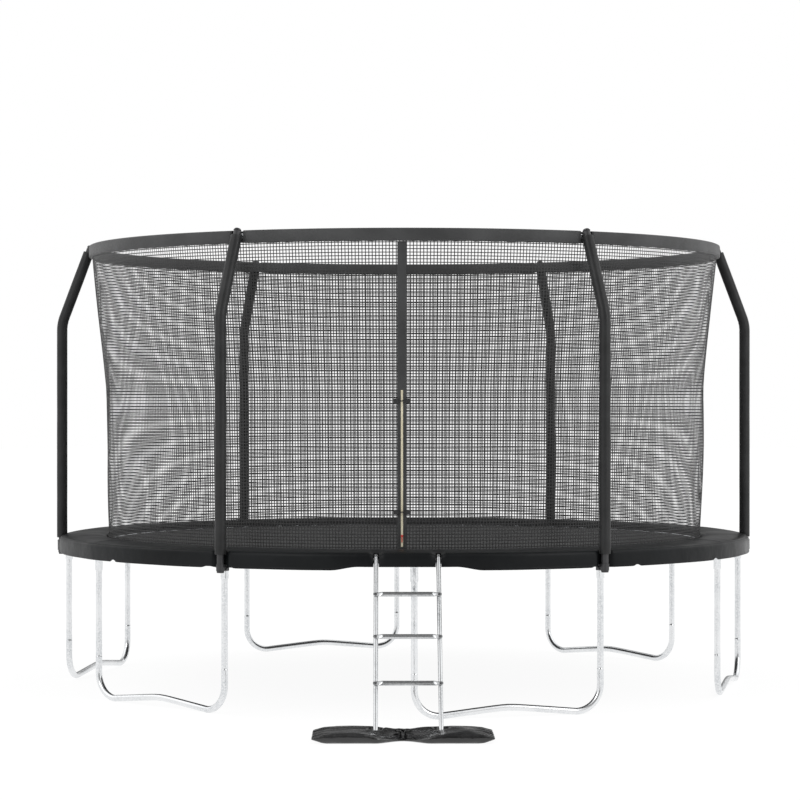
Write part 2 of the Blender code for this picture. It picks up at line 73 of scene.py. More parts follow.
def math_node(tree, operation, first, second=None):
    """A Math node. Its inputs are numbers or (node, output)."""
    node = tree.nodes.new("ShaderNodeMath")
    node.operation = operation
    for place, value in enumerate((first, second)):
        if isinstance(value, tuple):
            tree.links.new(value[0].outputs[value[1]], node.inputs[place])
        elif value is not None:
            node.inputs[place].default_value = value
    return node


def map_range(tree, source, low, high, to_low, to_high):
    node = tree.nodes.new("ShaderNodeMapRange")
    tree.links.new(source[0].outputs[source[1]], node.inputs["Value"])
    node.inputs["From Min"].default_value = low
    node.inputs["From Max"].default_value = high
    node.inputs["To Min"].default_value = to_low
    node.inputs["To Max"].default_value = to_high
    return node


world = bpy.data.worlds.new("studio_room")
bpy.context.scene.world = world
world.use_nodes = True
room = world.node_tree
backdrop = room.nodes["Background"]
backdrop.inputs["Color"].default_value = (1.0, 1.0, 1.0, 1.0)
backdrop.inputs["Strength"].default_value = 1.0
look = room.nodes.new("ShaderNodeTexCoord")
apart = room.nodes.new("ShaderNodeSeparateXYZ")
join_nodes(room, look, "Generated", apart, "Vector")
sideways = math_node(room, "ABSOLUTE", (apart, "X"))
wall_light = map_range(room, (sideways, "Value"), 0.10, 0.75, 0.16, 0.95)
overhead = map_range(room, (apart, "Z"), 0.15, 0.80, 0.0, 0.62)
beside_strip = map_range(room, (sideways, "Value"), 0.05, 0.24, 0.10, 1.0)
ceiling = math_node(room, "MULTIPLY", (overhead, "Result"), (beside_strip, "Result"))
behind = map_range(room, (apart, "Y"), 0.30, 0.80, 0.0, 0.12)
walls = math_node(room, "ADD", (wall_light, "Result"), (behind, "Result"))
room_light = math_node(room, "ADD", (walls, "Value"), (ceiling, "Value"))
surroundings = room.nodes.new("ShaderNodeBackground")
surroundings.inputs["Color"].default_value = (1.0, 1.0, 1.0, 1.0)
join_nodes(room, room_light, "Value", surroundings, "Strength")
ray = room.nodes.new("ShaderNodeLightPath")
choice = room.nodes.new("ShaderNodeMixShader")
join_nodes(room, ray, "Is Camera Ray", choice, "Fac")
join_nodes(room, surroundings, "Background", choice, 1)
join_nodes(room, backdrop, "Background", choice, 2)
join_nodes(room, choice, "Shader", room.nodes["World Output"], "Surface")

for place, turn_z, energy in (((-7.5, -9.0, 6.5), -38, 220), ((8.5, -7.0, 5.5), 50, 200)):
    bpy.ops.object.light_add(type="AREA", location=place,
                             rotation=(math.radians(58), 0.0, math.radians(turn_z)))
    soft_box = bpy.context.object.data
    soft_box.shape = "RECTANGLE"
    soft_box.size = 3.0
    soft_box.size_y = 5.0
    soft_box.energy = energy

bpy.ops.mesh.primitive_plane_add(size=160.0, location=(0.0, 0.0, -0.0005))
floor = bpy.context.object
floor.name = "floor"
floor_paint = bpy.data.materials.new("white_floor")
floor_paint.use_nodes = True
paint = floor_paint.node_tree.nodes["Principled BSDF"]
paint.inputs["Base Color"].default_value = (0.10, 0.10, 0.10, 1.0)
paint.inputs["Roughness"].default_value = 1.0
paint.inputs["Specular IOR Level"].default_value = 0.0
paint.inputs["Emission Color"].default_value = (1.0, 1.0, 1.0, 1.0)
paint.inputs["Emission Strength"].default_value = 0.93
floor.data.materials.append(floor_paint)


# ---- Frame ring ------------------------------------------------------------------------------
# Six galvanised tubes that slide into each other's ends make the round frame. Each one has two
# short sockets welded under it, for the legs. The frame hides behind the skirt of the pad.
bed_low, bed_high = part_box("mat")
AXIS = Vector(((bed_low.x + bed_high.x) / 2, (bed_low.y + bed_high.y) / 2, 0.0))
FRAME_RADIUS = 2.116
FRAME_Z = 0.872
FRAME_TUBE = 0.019
ROUND_SIDES = 24
RAIL_FROM = -14.8
RAIL_TURN = 58.2
RAIL_SPIGOT_TURN = 1.2
SOCKET_RADIUS = 0.0225
SOCKET_TOP = 0.866


def effect_group(name, inputs, outputs):
    """An empty node group with float inputs and the outputs asked for."""
    group = bpy.data.node_groups.new(name, "ShaderNodeTree")
    for label, value in inputs:
        socket = group.interface.new_socket(name=label, in_out="INPUT", socket_type="NodeSocketFloat")
        socket.default_value = value
    for label in outputs:
        group.interface.new_socket(name=label, in_out="OUTPUT", socket_type="NodeSocketFloat")
    return group, group.nodes.new("NodeGroupInput"), group.nodes.new("NodeGroupOutput")


# Broad clouding and a fine speckle over a surface, both from 0 to 1, in the piece's own metres.
clouding, asked, given = effect_group("clouding", (("Broad", 3.0), ("Fine", 160.0)), ("Broad", "Fine"))
where = clouding.nodes.new("ShaderNodeTexCoord")
for label, detail in (("Broad", 4.0), ("Fine", 2.0)):
    cloud = clouding.nodes.new("ShaderNodeTexNoise")
    cloud.inputs["Detail"].default_value = detail
    cloud.inputs["Roughness"].default_value = 0.55
    join_nodes(clouding, where, "Object", cloud, "Vector")
    join_nodes(clouding, asked, label, cloud, "Scale")
    spread = map_range(clouding, (cloud, "Fac"), 0.32, 0.68, 0.0, 1.0)
    join_nodes(clouding, spread, "Result", given, label)

# The flat crystals of a zinc coat: a random tone for each, and a little relief.
spangle, asked, given = effect_group("spangle", (("Size", 90.0),), ("Tone", "Height"))
where = spangle.nodes.new("ShaderNodeTexCoord")
crystal = spangle.nodes.new("ShaderNodeTexVoronoi")
crystal.inputs["Randomness"].default_value = 1.0
join_nodes(spangle, where, "Object", crystal, "Vector")
join_nodes(spangle, asked, "Size", crystal, "Scale")
tone = spangle.nodes.new("ShaderNodeSeparateColor")
join_nodes(spangle, crystal, "Color", tone, "Color")
join_nodes(spangle, tone, "Red", given, "Tone")
join_nodes(spangle, crystal, "Distance", given, "Height")


def new_material(name, roughness, metallic=0.0, specular=0.5):
    made = bpy.data.materials.new(name)
    made.use_nodes = True
    shader = made.node_tree.nodes["Principled BSDF"]
    shader.inputs["Roughness"].default_value = roughness
    shader.inputs["Metallic"].default_value = metallic
    shader.inputs["Specular IOR Level"].default_value = specular
    return made, made.node_tree, shader


def use_group(tree, group, **values):
    node = tree.nodes.new("ShaderNodeGroup")
    node.node_tree = group
    for label, value in values.items():
        node.inputs[label].default_value = value
    return node


def two_tone(tree, source, dark, light, target):
    """Feeds a colour that goes from dark to light with a mask."""
    mix = tree.nodes.new("ShaderNodeMix")
    mix.data_type = "RGBA"
    mix.inputs["A"].default_value = (*dark, 1.0)
    mix.inputs["B"].default_value = (*light, 1.0)
    tree.links.new(source[0].outputs[source[1]], mix.inputs["Factor"])
    tree.links.new(mix.outputs["Result"], target)
    return mix


def relief(tree, source, depth, shader, strength=1.0, over=None):
    """A Bump node from a height, on top of another one if there is any."""
    bump = tree.nodes.new("ShaderNodeBump")
    bump.inputs["Distance"].default_value = depth
    bump.inputs["Strength"].default_value = strength
    tree.links.new(source[0].outputs[source[1]], bump.inputs["Height"])
    if over is not None:
        join_nodes(tree, over, "Normal", bump, "Normal")
    join_nodes(tree, bump, "Normal", shader, "Normal")
    return bump


def zinc_material(name, dark, light, rough_low, rough_high, size):
    made, tree, shader = new_material(name, 0.3, metallic=1.0)
    clouds = use_group(tree, clouding, Broad=5.0, Fine=240.0)
    crystals = use_group(tree, spangle, Size=size)
    blend_tones = math_node(tree, "MULTIPLY", (crystals, "Tone"), (clouds, "Broad"))
    two_tone(tree, (blend_tones, "Value"), light, dark, shader.inputs["Base Color"])
    rough = map_range(tree, (clouds, "Fine"), 0.0, 1.0, rough_low, rough_high)
    join_nodes(tree, rough, "Result", shader, "Roughness")
    relief(tree, (crystals, "Height"), 0.0002, shader, 0.16)
    return made


galvanised = zinc_material("galvanised_steel", (0.58, 0.60, 0.62), (0.82, 0.83, 0.84), 0.15, 0.24, 140.0)


def begin_tube(name, middle, direction, radius, sides=ROUND_SIDES):
    """An open circle of edges, ready to be drawn out into a tube."""
    bpy.ops.object.select_all(action="DESELECT")
    turned = Vector(direction).to_track_quat("Z", "Y").to_euler()
    bpy.ops.mesh.primitive_circle_add(vertices=sides, radius=radius, fill_type="NOTHING",
                                      location=middle, rotation=turned)
    started = bpy.context.object
    started.name = name
    bpy.ops.object.transform_apply(location=True, rotation=True, scale=True)
    bpy.ops.object.mode_set(mode="EDIT")
    bpy.ops.mesh.select_mode(type="VERT")
    bpy.ops.mesh.select_all(action="SELECT")
    return started


def chosen_middle():
    mesh = bmesh.from_edit_mesh(bpy.context.object.data)
    points = [v.co for v in mesh.verts if v.select]
    return sum(points, Vector()) / len(points)


def draw_out(offset, widen=1.0):
    """Extrudes the open end, and then makes it wider or narrower."""
    bpy.ops.mesh.extrude_region_move(TRANSFORM_OT_translate={"value": tuple(offset)})
    if widen != 1.0:
        bpy.ops.transform.resize(value=(widen,) * 3, center_override=tuple(chosen_middle()))


def bend_round(centre, axis, degrees, steps):
    """Carries the open end on along a bend."""
    bpy.ops.mesh.spin(steps=steps, angle=-math.radians(degrees), center=tuple(centre), axis=tuple(axis))


def end_mesh(smooth_deg=40.0):
    """Closes what is open, points all faces outwards and leaves edit mode."""
    bpy.ops.mesh.select_all(action="SELECT")
    bpy.ops.mesh.remove_doubles(threshold=0.00001)
    bpy.ops.mesh.fill_holes(sides=0)
    bpy.ops.mesh.normals_make_consistent(inside=False)
    bpy.ops.object.mode_set(mode="OBJECT")
    bpy.ops.object.shade_smooth_by_angle(angle=math.radians(smooth_deg))
    return bpy.context.object


def join_pieces(name, pieces):
    bpy.ops.object.select_all(action="DESELECT")
    for piece in pieces:
        piece.select_set(True)
    bpy.context.view_layer.objects.active = pieces[0]
    bpy.ops.object.join()
    pieces[0].name = name
    return pieces[0]


def round_axis(degrees):
    turned = Matrix.Rotation(math.radians(degrees), 4, "Z")
    return Matrix.Translation(AXIS) @ turned @ Matrix.Translation(-AXIS)


def copies_round(first, names, step):
    """The same piece again at even steps round the axis, each copy with its own mesh."""
    first.name = names[0]
    made = [first]
    for number, name in enumerate(names[1:], start=1):
        copy = first.copy()
        copy.data = first.data.copy()
        copy.name = name
        bpy.context.scene.collection.objects.link(copy)
        copy.data.transform(round_axis(step * number))
        made.append(copy)
    return made


def finish_piece(piece, material, slot, body, *nodes):
    """Gives a piece its only material and its place in the frame."""
    piece.data.materials.clear()
    piece.data.materials.append(material)
    if body is not None:
        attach(piece, body)
    if nodes:
        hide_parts(*nodes)
    return piece


def at_angle(degrees, radius, height):
    turned = math.radians(degrees)
    return AXIS + Vector((radius * math.cos(turned), radius * math.sin(turned), height))


def rail_direction(degrees):
    turned = math.radians(degrees)
    return Vector((-math.sin(turned), math.cos(turned), 0.0))


UP = Vector((0.0, 0.0, 1.0))
rail_foot = at_angle(RAIL_FROM, FRAME_RADIUS, FRAME_Z)
rail = begin_tube("frame_tube", rail_foot, rail_direction(RAIL_FROM), FRAME_TUBE)
bend_round(AXIS, UP, RAIL_TURN, 24)
draw_out(rail_direction(43.4) * 0.004, 0.93)
bend_round(AXIS, UP, RAIL_SPIGOT_TURN, 1)
end_mesh()
sockets = []
for degrees in (0, 30):
    begin_tube("leg_socket", at_angle(degrees, FRAME_RADIUS, SOCKET_TOP), UP, SOCKET_RADIUS)
    draw_out((0, 0, -0.016), 1.12)
    draw_out((0, 0, -0.005), 0.893)
    draw_out((0, 0, -0.078))
    draw_out((0, 0, -0.002), 0.95)
    draw_out((0, 0, 0.0), 0.93)
    draw_out((0, 0, 0.004))
    sockets.append(end_mesh())
rail = join_pieces("rail_1", [rail] + sockets)
for number, piece in enumerate(copies_round(rail, [f"rail_{k}" for k in range(1, 7)], 60), start=1):
    finish_piece(piece, galvanised, "galvanised", "frame", f"frame_rail_{number}")

# ---- Legs ------------------------------------------------------------------------------------
# Each leg is a bent galvanised tube with round corners and a bottom that rises in its middle, so
# that it stands on its two corners. Straight tubes slide into it a hand above the ground.
LEG_TOP = 0.850
LEG_BEND = 0.145
LEG_RISE = 0.036
LEG_BASE_Z = 0.0191
JOINT_Z = 0.243
half_chord = FRAME_RADIUS * math.sin(math.radians(15))
leg_plane = FRAME_RADIUS * math.cos(math.radians(15))
flat = half_chord - LEG_BEND


def leg_point(along, height):
    return AXIS + Vector((leg_plane, along, height))


def leg_joint(direction):
    """The rim of the lower tube, with the narrower upper tube in it."""
    draw_out((0, 0, direction * 0.0015), 1.0 / 0.965)
    draw_out((0, 0, direction * 0.003), 1.02)
    draw_out((0, 0, direction * 0.010), 1.0 / 1.02)


def bottom_rise(share):
    """How high the middle of the leg's bottom stands: two straight runs with a soft knee."""
    return LEG_RISE * (1.0 - math.sqrt(share * share + 0.012)) / (1.0 - math.sqrt(0.012))


leg = begin_tube("leg", leg_point(-half_chord, LEG_TOP), UP, FRAME_TUBE * 0.965)
draw_out((0, 0, JOINT_Z + 0.0205 - LEG_TOP))
draw_out((0, 0, -0.006))
leg_joint(-1.0)
draw_out((0, 0, LEG_BASE_Z + LEG_BEND - JOINT_Z))
bend_round(leg_point(-flat, LEG_BASE_Z + LEG_BEND), (1, 0, 0), 90, 12)
runs = 20
for step in range(runs):
    share_from = -1.0 + 2.0 * step / runs
    share_to = -1.0 + 2.0 * (step + 1) / runs
    rise = bottom_rise(abs(share_to)) - bottom_rise(abs(share_from))
    draw_out((0, 2.0 * flat / runs, rise))
bend_round(leg_point(flat, LEG_BASE_Z + LEG_BEND), (1, 0, 0), 90, 12)
draw_out((0, 0, JOINT_Z - LEG_BASE_Z - LEG_BEND))
draw_out((0, 0, 0.010), 1.02)
draw_out((0, 0, 0.003), 1.0 / 1.02)
draw_out((0, 0, 0.0015), 0.965)
draw_out((0, 0, 0.006))
draw_out((0, 0, LEG_TOP - JOINT_Z - 0.0205))
leg = end_mesh(30.0)
leg.data.transform(round_axis(45))
for number, piece in enumerate(copies_round(leg, [f"bent_leg_{k}" for k in range(1, 7)], 60), start=1):
    finish_piece(piece, galvanised, "galvanised", "frame", f"leg_{number}")

# ---- Poles -----------------------------------------------------------------------------------
# Six black-painted steel tubes stand outside the frame ring and lean in at their tops. Each is
# notched for the ring tube, which passes through it.
POLE_RADIUS = 2.160
POLE_BEND_Z = 2.252
POLE_LEAN = 20.5
POLE_BEND = 0.25
POLE_TOP_Z = 2.728
POLE_TUBE = 0.021
RING_TUBE_ROOM = 0.0137
RING_RADIUS = 1.962
RING_Z = 2.700
lean = math.radians(POLE_LEAN)
bend_reach = POLE_BEND * math.tan(lean / 2)
lean_way = Vector((-math.sin(lean), 0.0, math.cos(lean)))


def paint_material(name, dark, light, rough_low, rough_high, grain, grain_depth, specular=0.5, broad=6.0):
    """Painted or moulded surfaces: clouded colour, uneven gloss and a fine grain."""
    made, tree, shader = new_material(name, 0.5, specular=specular)
    clouds = use_group(tree, clouding, Broad=broad, Fine=grain)
    two_tone(tree, (clouds, "Broad"), dark, light, shader.inputs["Base Color"])
    rough = map_range(tree, (clouds, "Fine"), 0.0, 1.0, rough_low, rough_high)
    join_nodes(tree, rough, "Result", shader, "Roughness")
    relief(tree, (clouds, "Fine"), grain_depth, shader, 0.5)
    return made


def pole_run(height, radius_beyond):
    """Draws a tube up from where it is, round the pole's bend and on to a height on its leaning part."""
    here = chosen_middle()
    draw_out((0, 0, POLE_BEND_Z - bend_reach - here.z))
    bend_centre = AXIS + Vector((POLE_RADIUS - POLE_BEND, 0, POLE_BEND_Z - bend_reach))
    bend_round(bend_centre, (0, 1, 0), -POLE_LEAN, 8)
    here = chosen_middle()
    draw_out(lean_way * ((height - here.z) / lean_way.z), radius_beyond)


def cut_away(piece, cutter):
    """Cuts a shape out of a piece, which is then the only one selected."""
    bpy.ops.object.select_all(action="DESELECT")
    bpy.context.view_layer.objects.active = piece
    piece.select_set(True)
    cut = piece.modifiers.new("cut", "BOOLEAN")
    cut.operation = "DIFFERENCE"
    cut.solver = "EXACT"
    cut.object = cutter
    bpy.ops.object.modifier_apply(modifier=cut.name)
    bpy.data.objects.remove(cutter)
    return piece


def notch_for_ring(piece, room):
    """Cuts the ring tube's room out of a pole or its foam."""
    bpy.ops.object.select_all(action="DESELECT")
    bpy.ops.mesh.primitive_torus_add(location=AXIS + UP * RING_Z, major_segments=180, minor_segments=16,
                                     major_radius=RING_RADIUS, minor_radius=room)
    return cut_away(piece, bpy.context.object)


black_paint = paint_material("black_paint", (0.016, 0.016, 0.017), (0.032, 0.032, 0.034),
                             0.30, 0.42, 320.0, 0.0003)
pole = begin_tube("pole", AXIS + Vector((POLE_RADIUS, 0, 0.8)), UP, 0.0195)
draw_out((0, 0, 0.0015), POLE_TUBE / 0.0195)
pole_run(POLE_TOP_Z - 0.002, 1.0)
draw_out(lean_way * 0.002, 0.95)
pole = notch_for_ring(end_mesh(30.0), RING_TUBE_ROOM)
for number, piece in enumerate(copies_round(pole, [f"steel_pole_{k}" for k in range(1, 7)], 60), start=1):
    finish_piece(piece, black_paint, "black_tube", "frame", f"pole_{number}")

# ---- Foam sleeves ----------------------------------------------------------------------------
# A thick foam tube in a smooth black cover slides over each pole. The cover is turned in at the
# bottom, wrinkles a little on the inside of the bend, and has a welded seam along its back.
FOAM_RADIUS = 0.033
FOAM_LOW = 0.904
FOAM_MOUTH = 0.0218
FOAM_GAP = 0.0002
FOAM_LEAN_RISE = 0.3955
foam_cover, tree, shader = new_material("foam_cover", 0.42, specular=0.30)
clouds = use_group(tree, clouding, Broad=9.0, Fine=420.0)
two_tone(tree, (clouds, "Broad"), (0.010, 0.0102, 0.0105), (0.019, 0.0195, 0.020),
         shader.inputs["Base Color"])
rough = map_range(tree, (clouds, "Fine"), 0.0, 1.0, 0.36, 0.52)
join_nodes(tree, rough, "Result", shader, "Roughness")
broad_bump = relief(tree, (clouds, "Broad"), 0.004, shader, 0.4)
relief(tree, (clouds, "Fine"), 0.0003, shader, 0.4, over=broad_bump)
shader.inputs["Sheen Weight"].default_value = 0.06
shader.inputs["Sheen Roughness"].default_value = 0.4

foam = begin_tube("foam", AXIS + Vector((POLE_RADIUS, 0, FOAM_LOW + 0.012)), UP, FOAM_MOUTH, 28)
draw_out((0, 0, -0.010))
draw_out((0, 0, -0.002), 1.12)
draw_out((0, 0, 0.0), 1.24)
draw_out((0, 0, 0.003), FOAM_RADIUS / 0.0303)
rows = 44
straight = POLE_BEND_Z - bend_reach - FOAM_LOW - 0.005
for _ in range(rows):
    draw_out((0, 0, straight / rows))
pole_run(2.30, 1.0)
lean_rows = 12
for _ in range(lean_rows):
    draw_out(lean_way * (FOAM_LEAN_RISE / lean_rows / lean_way.z))
draw_out(lean_way * 0.003, 0.93)
draw_out(lean_way * 0.001, 0.75)
foam = end_mesh(50.0)
for vertex in foam.data.vertices:
    out = vertex.co - AXIS
    middle_x = POLE_RADIUS - max(0.0, out.z - POLE_BEND_Z) * math.tan(lean)
    away = Vector((out.x - middle_x, out.y, 0.0))
    if away.length > 0.026:
        soft = noise.noise(Vector((out.x * 16, out.y * 16, out.z * 5.0)))
        crease = math.exp(-((out.z - POLE_BEND_Z) / 0.05) ** 2) * math.sin(out.z * 260.0) * 0.5
        inner = max(0.0, -away.normalized().x)
        seam = math.exp(-((away.normalized() - Vector((1, 0, 0))).length / 0.16) ** 2)
        vertex.co += away.normalized() * (0.0006 * soft + 0.0016 * crease * inner - 0.0012 * seam)
foam = notch_for_ring(foam, RING_TUBE_ROOM + FOAM_GAP)
for number, piece in enumerate(copies_round(foam, [f"foam_{k}" for k in range(1, 7)], 60), start=1):
    finish_piece(piece, foam_cover, "foam", "frame", f"foam_sleeve_{number}")

# ---- Pole caps -------------------------------------------------------------------------------
# A small domed plastic plug closes each pole and holds the ring's cover down. It has a rim, and
# a screw in its middle.
cap_plastic = paint_material("cap_plastic", (0.012, 0.012, 0.013), (0.022, 0.022, 0.024),
                             0.24, 0.36, 500.0, 0.0002)
cap_reach = POLE_RADIUS - (POLE_TOP_Z - POLE_BEND_Z) * math.tan(lean)
cap_foot = AXIS + Vector((cap_reach, 0, POLE_TOP_Z)) + lean_way * 0.0006
cap = begin_tube("cap", cap_foot, lean_way, 0.0215, 28)
draw_out(lean_way * 0.001, 1.045)
draw_out(lean_way * 0.0035)
draw_out(lean_way * 0.001, 0.96)
draw_out(lean_way * 0.0005, 0.93)
draw_out(lean_way * 0.0035, 0.94)
draw_out(lean_way * 0.003, 0.85)
draw_out(lean_way * 0.0015, 0.75)
draw_out(lean_way * 0.0004, 0.60)
draw_out(lean_way * -0.0012, 0.95)
draw_out(lean_way * 0.0012, 0.80)
draw_out(lean_way * 0.0004, 0.50)
cap = end_mesh(35.0)
for number, piece in enumerate(copies_round(cap, [f"cap_{k}" for k in range(1, 7)], 60), start=1):
    finish_piece(piece, cap_plastic, "cap_plastic", "frame", f"pole_cap_{number}")

# ---- Pole clamps -----------------------------------------------------------------------------
# A pressed steel band holds each pole against a leg socket. Two bolts with round heads and hexagon
# nuts pull it tight between the tubes.
def bolt_through(name, middle, direction, length, head_radius):
    """A bolt with a domed head at one end and a nut on the other."""
    way = Vector(direction).normalized()
    begin_tube(name, middle - way * (length / 2 + 0.0045), way, head_radius * 0.55, 16)
    draw_out(way * 0.0012, 1.6)
    draw_out(way * 0.0018, 1.13)
    draw_out(way * 0.0015)
    draw_out(way * 0.0, 0.5)
    draw_out(way * (length + 0.004))
    shank = end_mesh(35.0)
    begin_tube(name + "_nut", middle + way * (length / 2), way, head_radius * 0.95, 6)
    draw_out(way * 0.0005, 1.05)
    draw_out(way * 0.0035)
    draw_out(way * 0.0005, 0.93)
    return join_pieces(name, [shank, end_mesh(25.0)])


dark_bolt = zinc_material("dark_bolt", (0.05, 0.05, 0.052), (0.13, 0.13, 0.135), 0.30, 0.45, 300.0)
clamp_waist = (FRAME_RADIUS + POLE_RADIUS) / 2
CLAMP_BOLT_HEIGHTS = (0.820, 0.840)
CLAMP_BOLT_LENGTH = 0.054
CLAMP_BOLT_HEAD = 0.0065
clamp_bolts = []
for bolt_height in CLAMP_BOLT_HEIGHTS:
    bolt_middle = AXIS + Vector((clamp_waist, 0, bolt_height))
    clamp_bolts.append(bolt_through("bolt", bolt_middle, (0, 1, 0), CLAMP_BOLT_LENGTH, CLAMP_BOLT_HEAD))
clamp_bolts = join_pieces("clamp_bolts", clamp_bolts)
for piece in copies_round(clamp_bolts, [f"clamp_bolts_{k}" for k in range(1, 7)], 60):
    finish_piece(piece, dark_bolt, "galvanised", "frame")
for number in range(1, 7):
    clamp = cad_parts[f"pole_clamp_{number}"]
    clamp.data.materials.clear()
    clamp.data.materials.append(black_paint)

# ---- Top ring --------------------------------------------------------------------------------
# Three bent steel tubes plug together into the ring that the net hangs from. A fabric cover hides
# them. The bare tube shows only where a pole passes through the ring.
for number in range(1, 4):
    ring_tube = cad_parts[f"top_ring_{number}"]
    ring_tube.data.materials.clear()
    ring_tube.data.materials.append(galvanised)

# The cover is one long strip of coated cloth, folded round the ring tube and sewn up below it to
# the net. It is cut away in front of each pole, where its inner wall alone runs on.
SLEEVE_INNER = 1.9445
SLEEVE_OUTER = 1.9825
SLEEVE_LOW = 2.6575
SLEEVE_HIGH = 2.7305
SLEEVE_STRIP = 1.9525
WINDOW_DEG = 1.09
COVER_WALL = 0.0012


def polar(point):
    """Angle round the axis in degrees, distance from it, and height."""
    out = point - AXIS
    return math.degrees(math.atan2(out.y, out.x)) % 360.0, math.hypot(out.x, out.y), out.z


def angle_apart(one, other):
    return (one - other + 180.0) % 360.0 - 180.0


def circle_points(count, radius):
    """Points of a small circle, as (sideways, upwards)."""
    turns = [2.0 * math.pi * k / count for k in range(count)]
    return [(radius * math.cos(turned), radius * math.sin(turned)) for turned in turns]


def outline_piece(name, points, closed=True):
    """Edges through points, in edit mode, ready to be drawn out or spun."""
    bpy.ops.object.select_all(action="DESELECT")
    mesh = bpy.data.meshes.new(name)
    count = len(points)
    mesh.from_pydata(points, [(k, (k + 1) % count) for k in range(count if closed else count - 1)], [])
    piece = bpy.data.objects.new(name, mesh)
    bpy.context.scene.collection.objects.link(piece)
    bpy.context.view_layer.objects.active = piece
    piece.select_set(True)
    bpy.ops.object.mode_set(mode="EDIT")
    bpy.ops.mesh.select_mode(type="VERT")
    bpy.ops.mesh.select_all(action="SELECT")
    return piece


def spin_section(name, section, start_deg, turn_deg, steps, closed=True, smooth_deg=50.0):
    """Spins points of (radius, height) round the axis into a skin."""
    outline_piece(name, [at_angle(start_deg, r, z) for r, z in section], closed)
    bend_round(AXIS, UP, turn_deg, steps)
    bpy.ops.mesh.select_all(action="SELECT")
    bpy.ops.mesh.remove_doubles(threshold=0.00001)
    bpy.ops.mesh.normals_make_consistent(inside=False)
    bpy.ops.object.mode_set(mode="OBJECT")
    bpy.ops.object.shade_smooth_by_angle(angle=math.radians(smooth_deg))
    return bpy.context.object


def soft_box_section(inner, outer, low, high, corner, belly):
    """A box with round corners and slightly bulging sides, as points of (radius, height)."""
    points = []
    corners = ((outer - corner, low + corner, -90), (outer - corner, high - corner, 0),
               (inner + corner, high - corner, 90), (inner + corner, low + corner, 180))
    for r, z, start in corners:
        for step in range(3):
            turned = math.radians(start + 45 * step)
            points.append((r + corner * math.cos(turned), z + corner * math.sin(turned)))
    middle = (low + high) / 2
    points.insert(3, (outer + belly, middle))
    points.insert(10, (inner - belly * 0.3, middle))
    return points


def thicken(piece, wall):
    """Gives a single skin its thickness, inwards from its outside."""
    bpy.context.view_layer.objects.active = piece
    solid = piece.modifiers.new("wall", "SOLIDIFY")
    solid.thickness = wall
    solid.offset = -1.0
    bpy.ops.object.modifier_apply(modifier=solid.name)
    return piece


def smooth_up_to(piece, degrees):
    bpy.ops.object.select_all(action="DESELECT")
    bpy.context.view_layer.objects.active = piece
    piece.select_set(True)
    bpy.ops.object.shade_smooth_by_angle(angle=math.radians(degrees))


def satin_cloth(name, dark, light, roughness, sheen, threads):
    """Coated cloth: a fine plain weave under a satin face."""
    made, tree, shader = new_material(name, roughness, specular=0.30)
    clouds = use_group(tree, clouding, Broad=4.0, Fine=90.0)
    weave = use_group(tree, weaving, Threads=threads)
    # The weave's painted shade, darker where its threads dip, is added to the clouded tone.
    both = math_node(tree, "MULTIPLY_ADD", (clouds, "Broad"), 0.7)
    tree.links.new(weave.outputs["Shade"], both.inputs[2])
    two_tone(tree, (both, "Value"), dark, light, shader.inputs["Base Color"])
    rough = map_range(tree, (clouds, "Fine"), 0.0, 1.0, roughness - 0.05, roughness + 0.08)
    join_nodes(tree, rough, "Result", shader, "Roughness")
    soft = relief(tree, (clouds, "Broad"), 0.003, shader, 0.35)
    relief(tree, (weave, "Height"), 0.0003, shader, 0.5, over=soft)
    shader.inputs["Sheen Weight"].default_value = sheen
    shader.inputs["Sheen Roughness"].default_value = 0.45
    return made


# A plain weave over a piece's own UV map, which is in metres: its height, and a painted shade from 0 to 0.3
# that follows the height, so the weave is darker where its threads dip.
weaving, asked, given = effect_group("weaving", (("Threads", 900.0),), ("Height", "Shade"))
cloth_map = weaving.nodes.new("ShaderNodeTexCoord")
cloth_axes = weaving.nodes.new("ShaderNodeSeparateXYZ")
join_nodes(weaving, cloth_map, "UV", cloth_axes, "Vector")
waves = []
for label in ("X", "Y"):
    along = math_node(weaving, "MULTIPLY", (cloth_axes, label), (asked, "Threads"))
    radians = math_node(weaving, "MULTIPLY", (along, "Value"), math.pi)
    waves.append(math_node(weaving, "SINE", (radians, "Value")))
crossing = math_node(weaving, "MULTIPLY", (waves[0], "Value"), (waves[1], "Value"))
crossing_height = map_range(weaving, (crossing, "Value"), -1.0, 1.0, 0.0, 1.0)
join_nodes(weaving, crossing_height, "Result", given, "Height")
# Painted shade that follows the weave's height: darker where the threads dip.
weave_dip_shade = map_range(weaving, (crossing, "Value"), -1.0, 1.0, 0.0, 0.3)
join_nodes(weaving, weave_dip_shade, "Result", given, "Shade")


def cloth_uv(piece, along, across):
    """A UV map in metres from two rules that take a point of the piece."""
    layer = piece.data.uv_layers.get("cloth") or piece.data.uv_layers.new(name="cloth")
    points = [(along(v.co), across(v.co)) for v in piece.data.vertices]
    for loop in piece.data.loops:
        layer.data[loop.index].uv = points[loop.vertex_index]


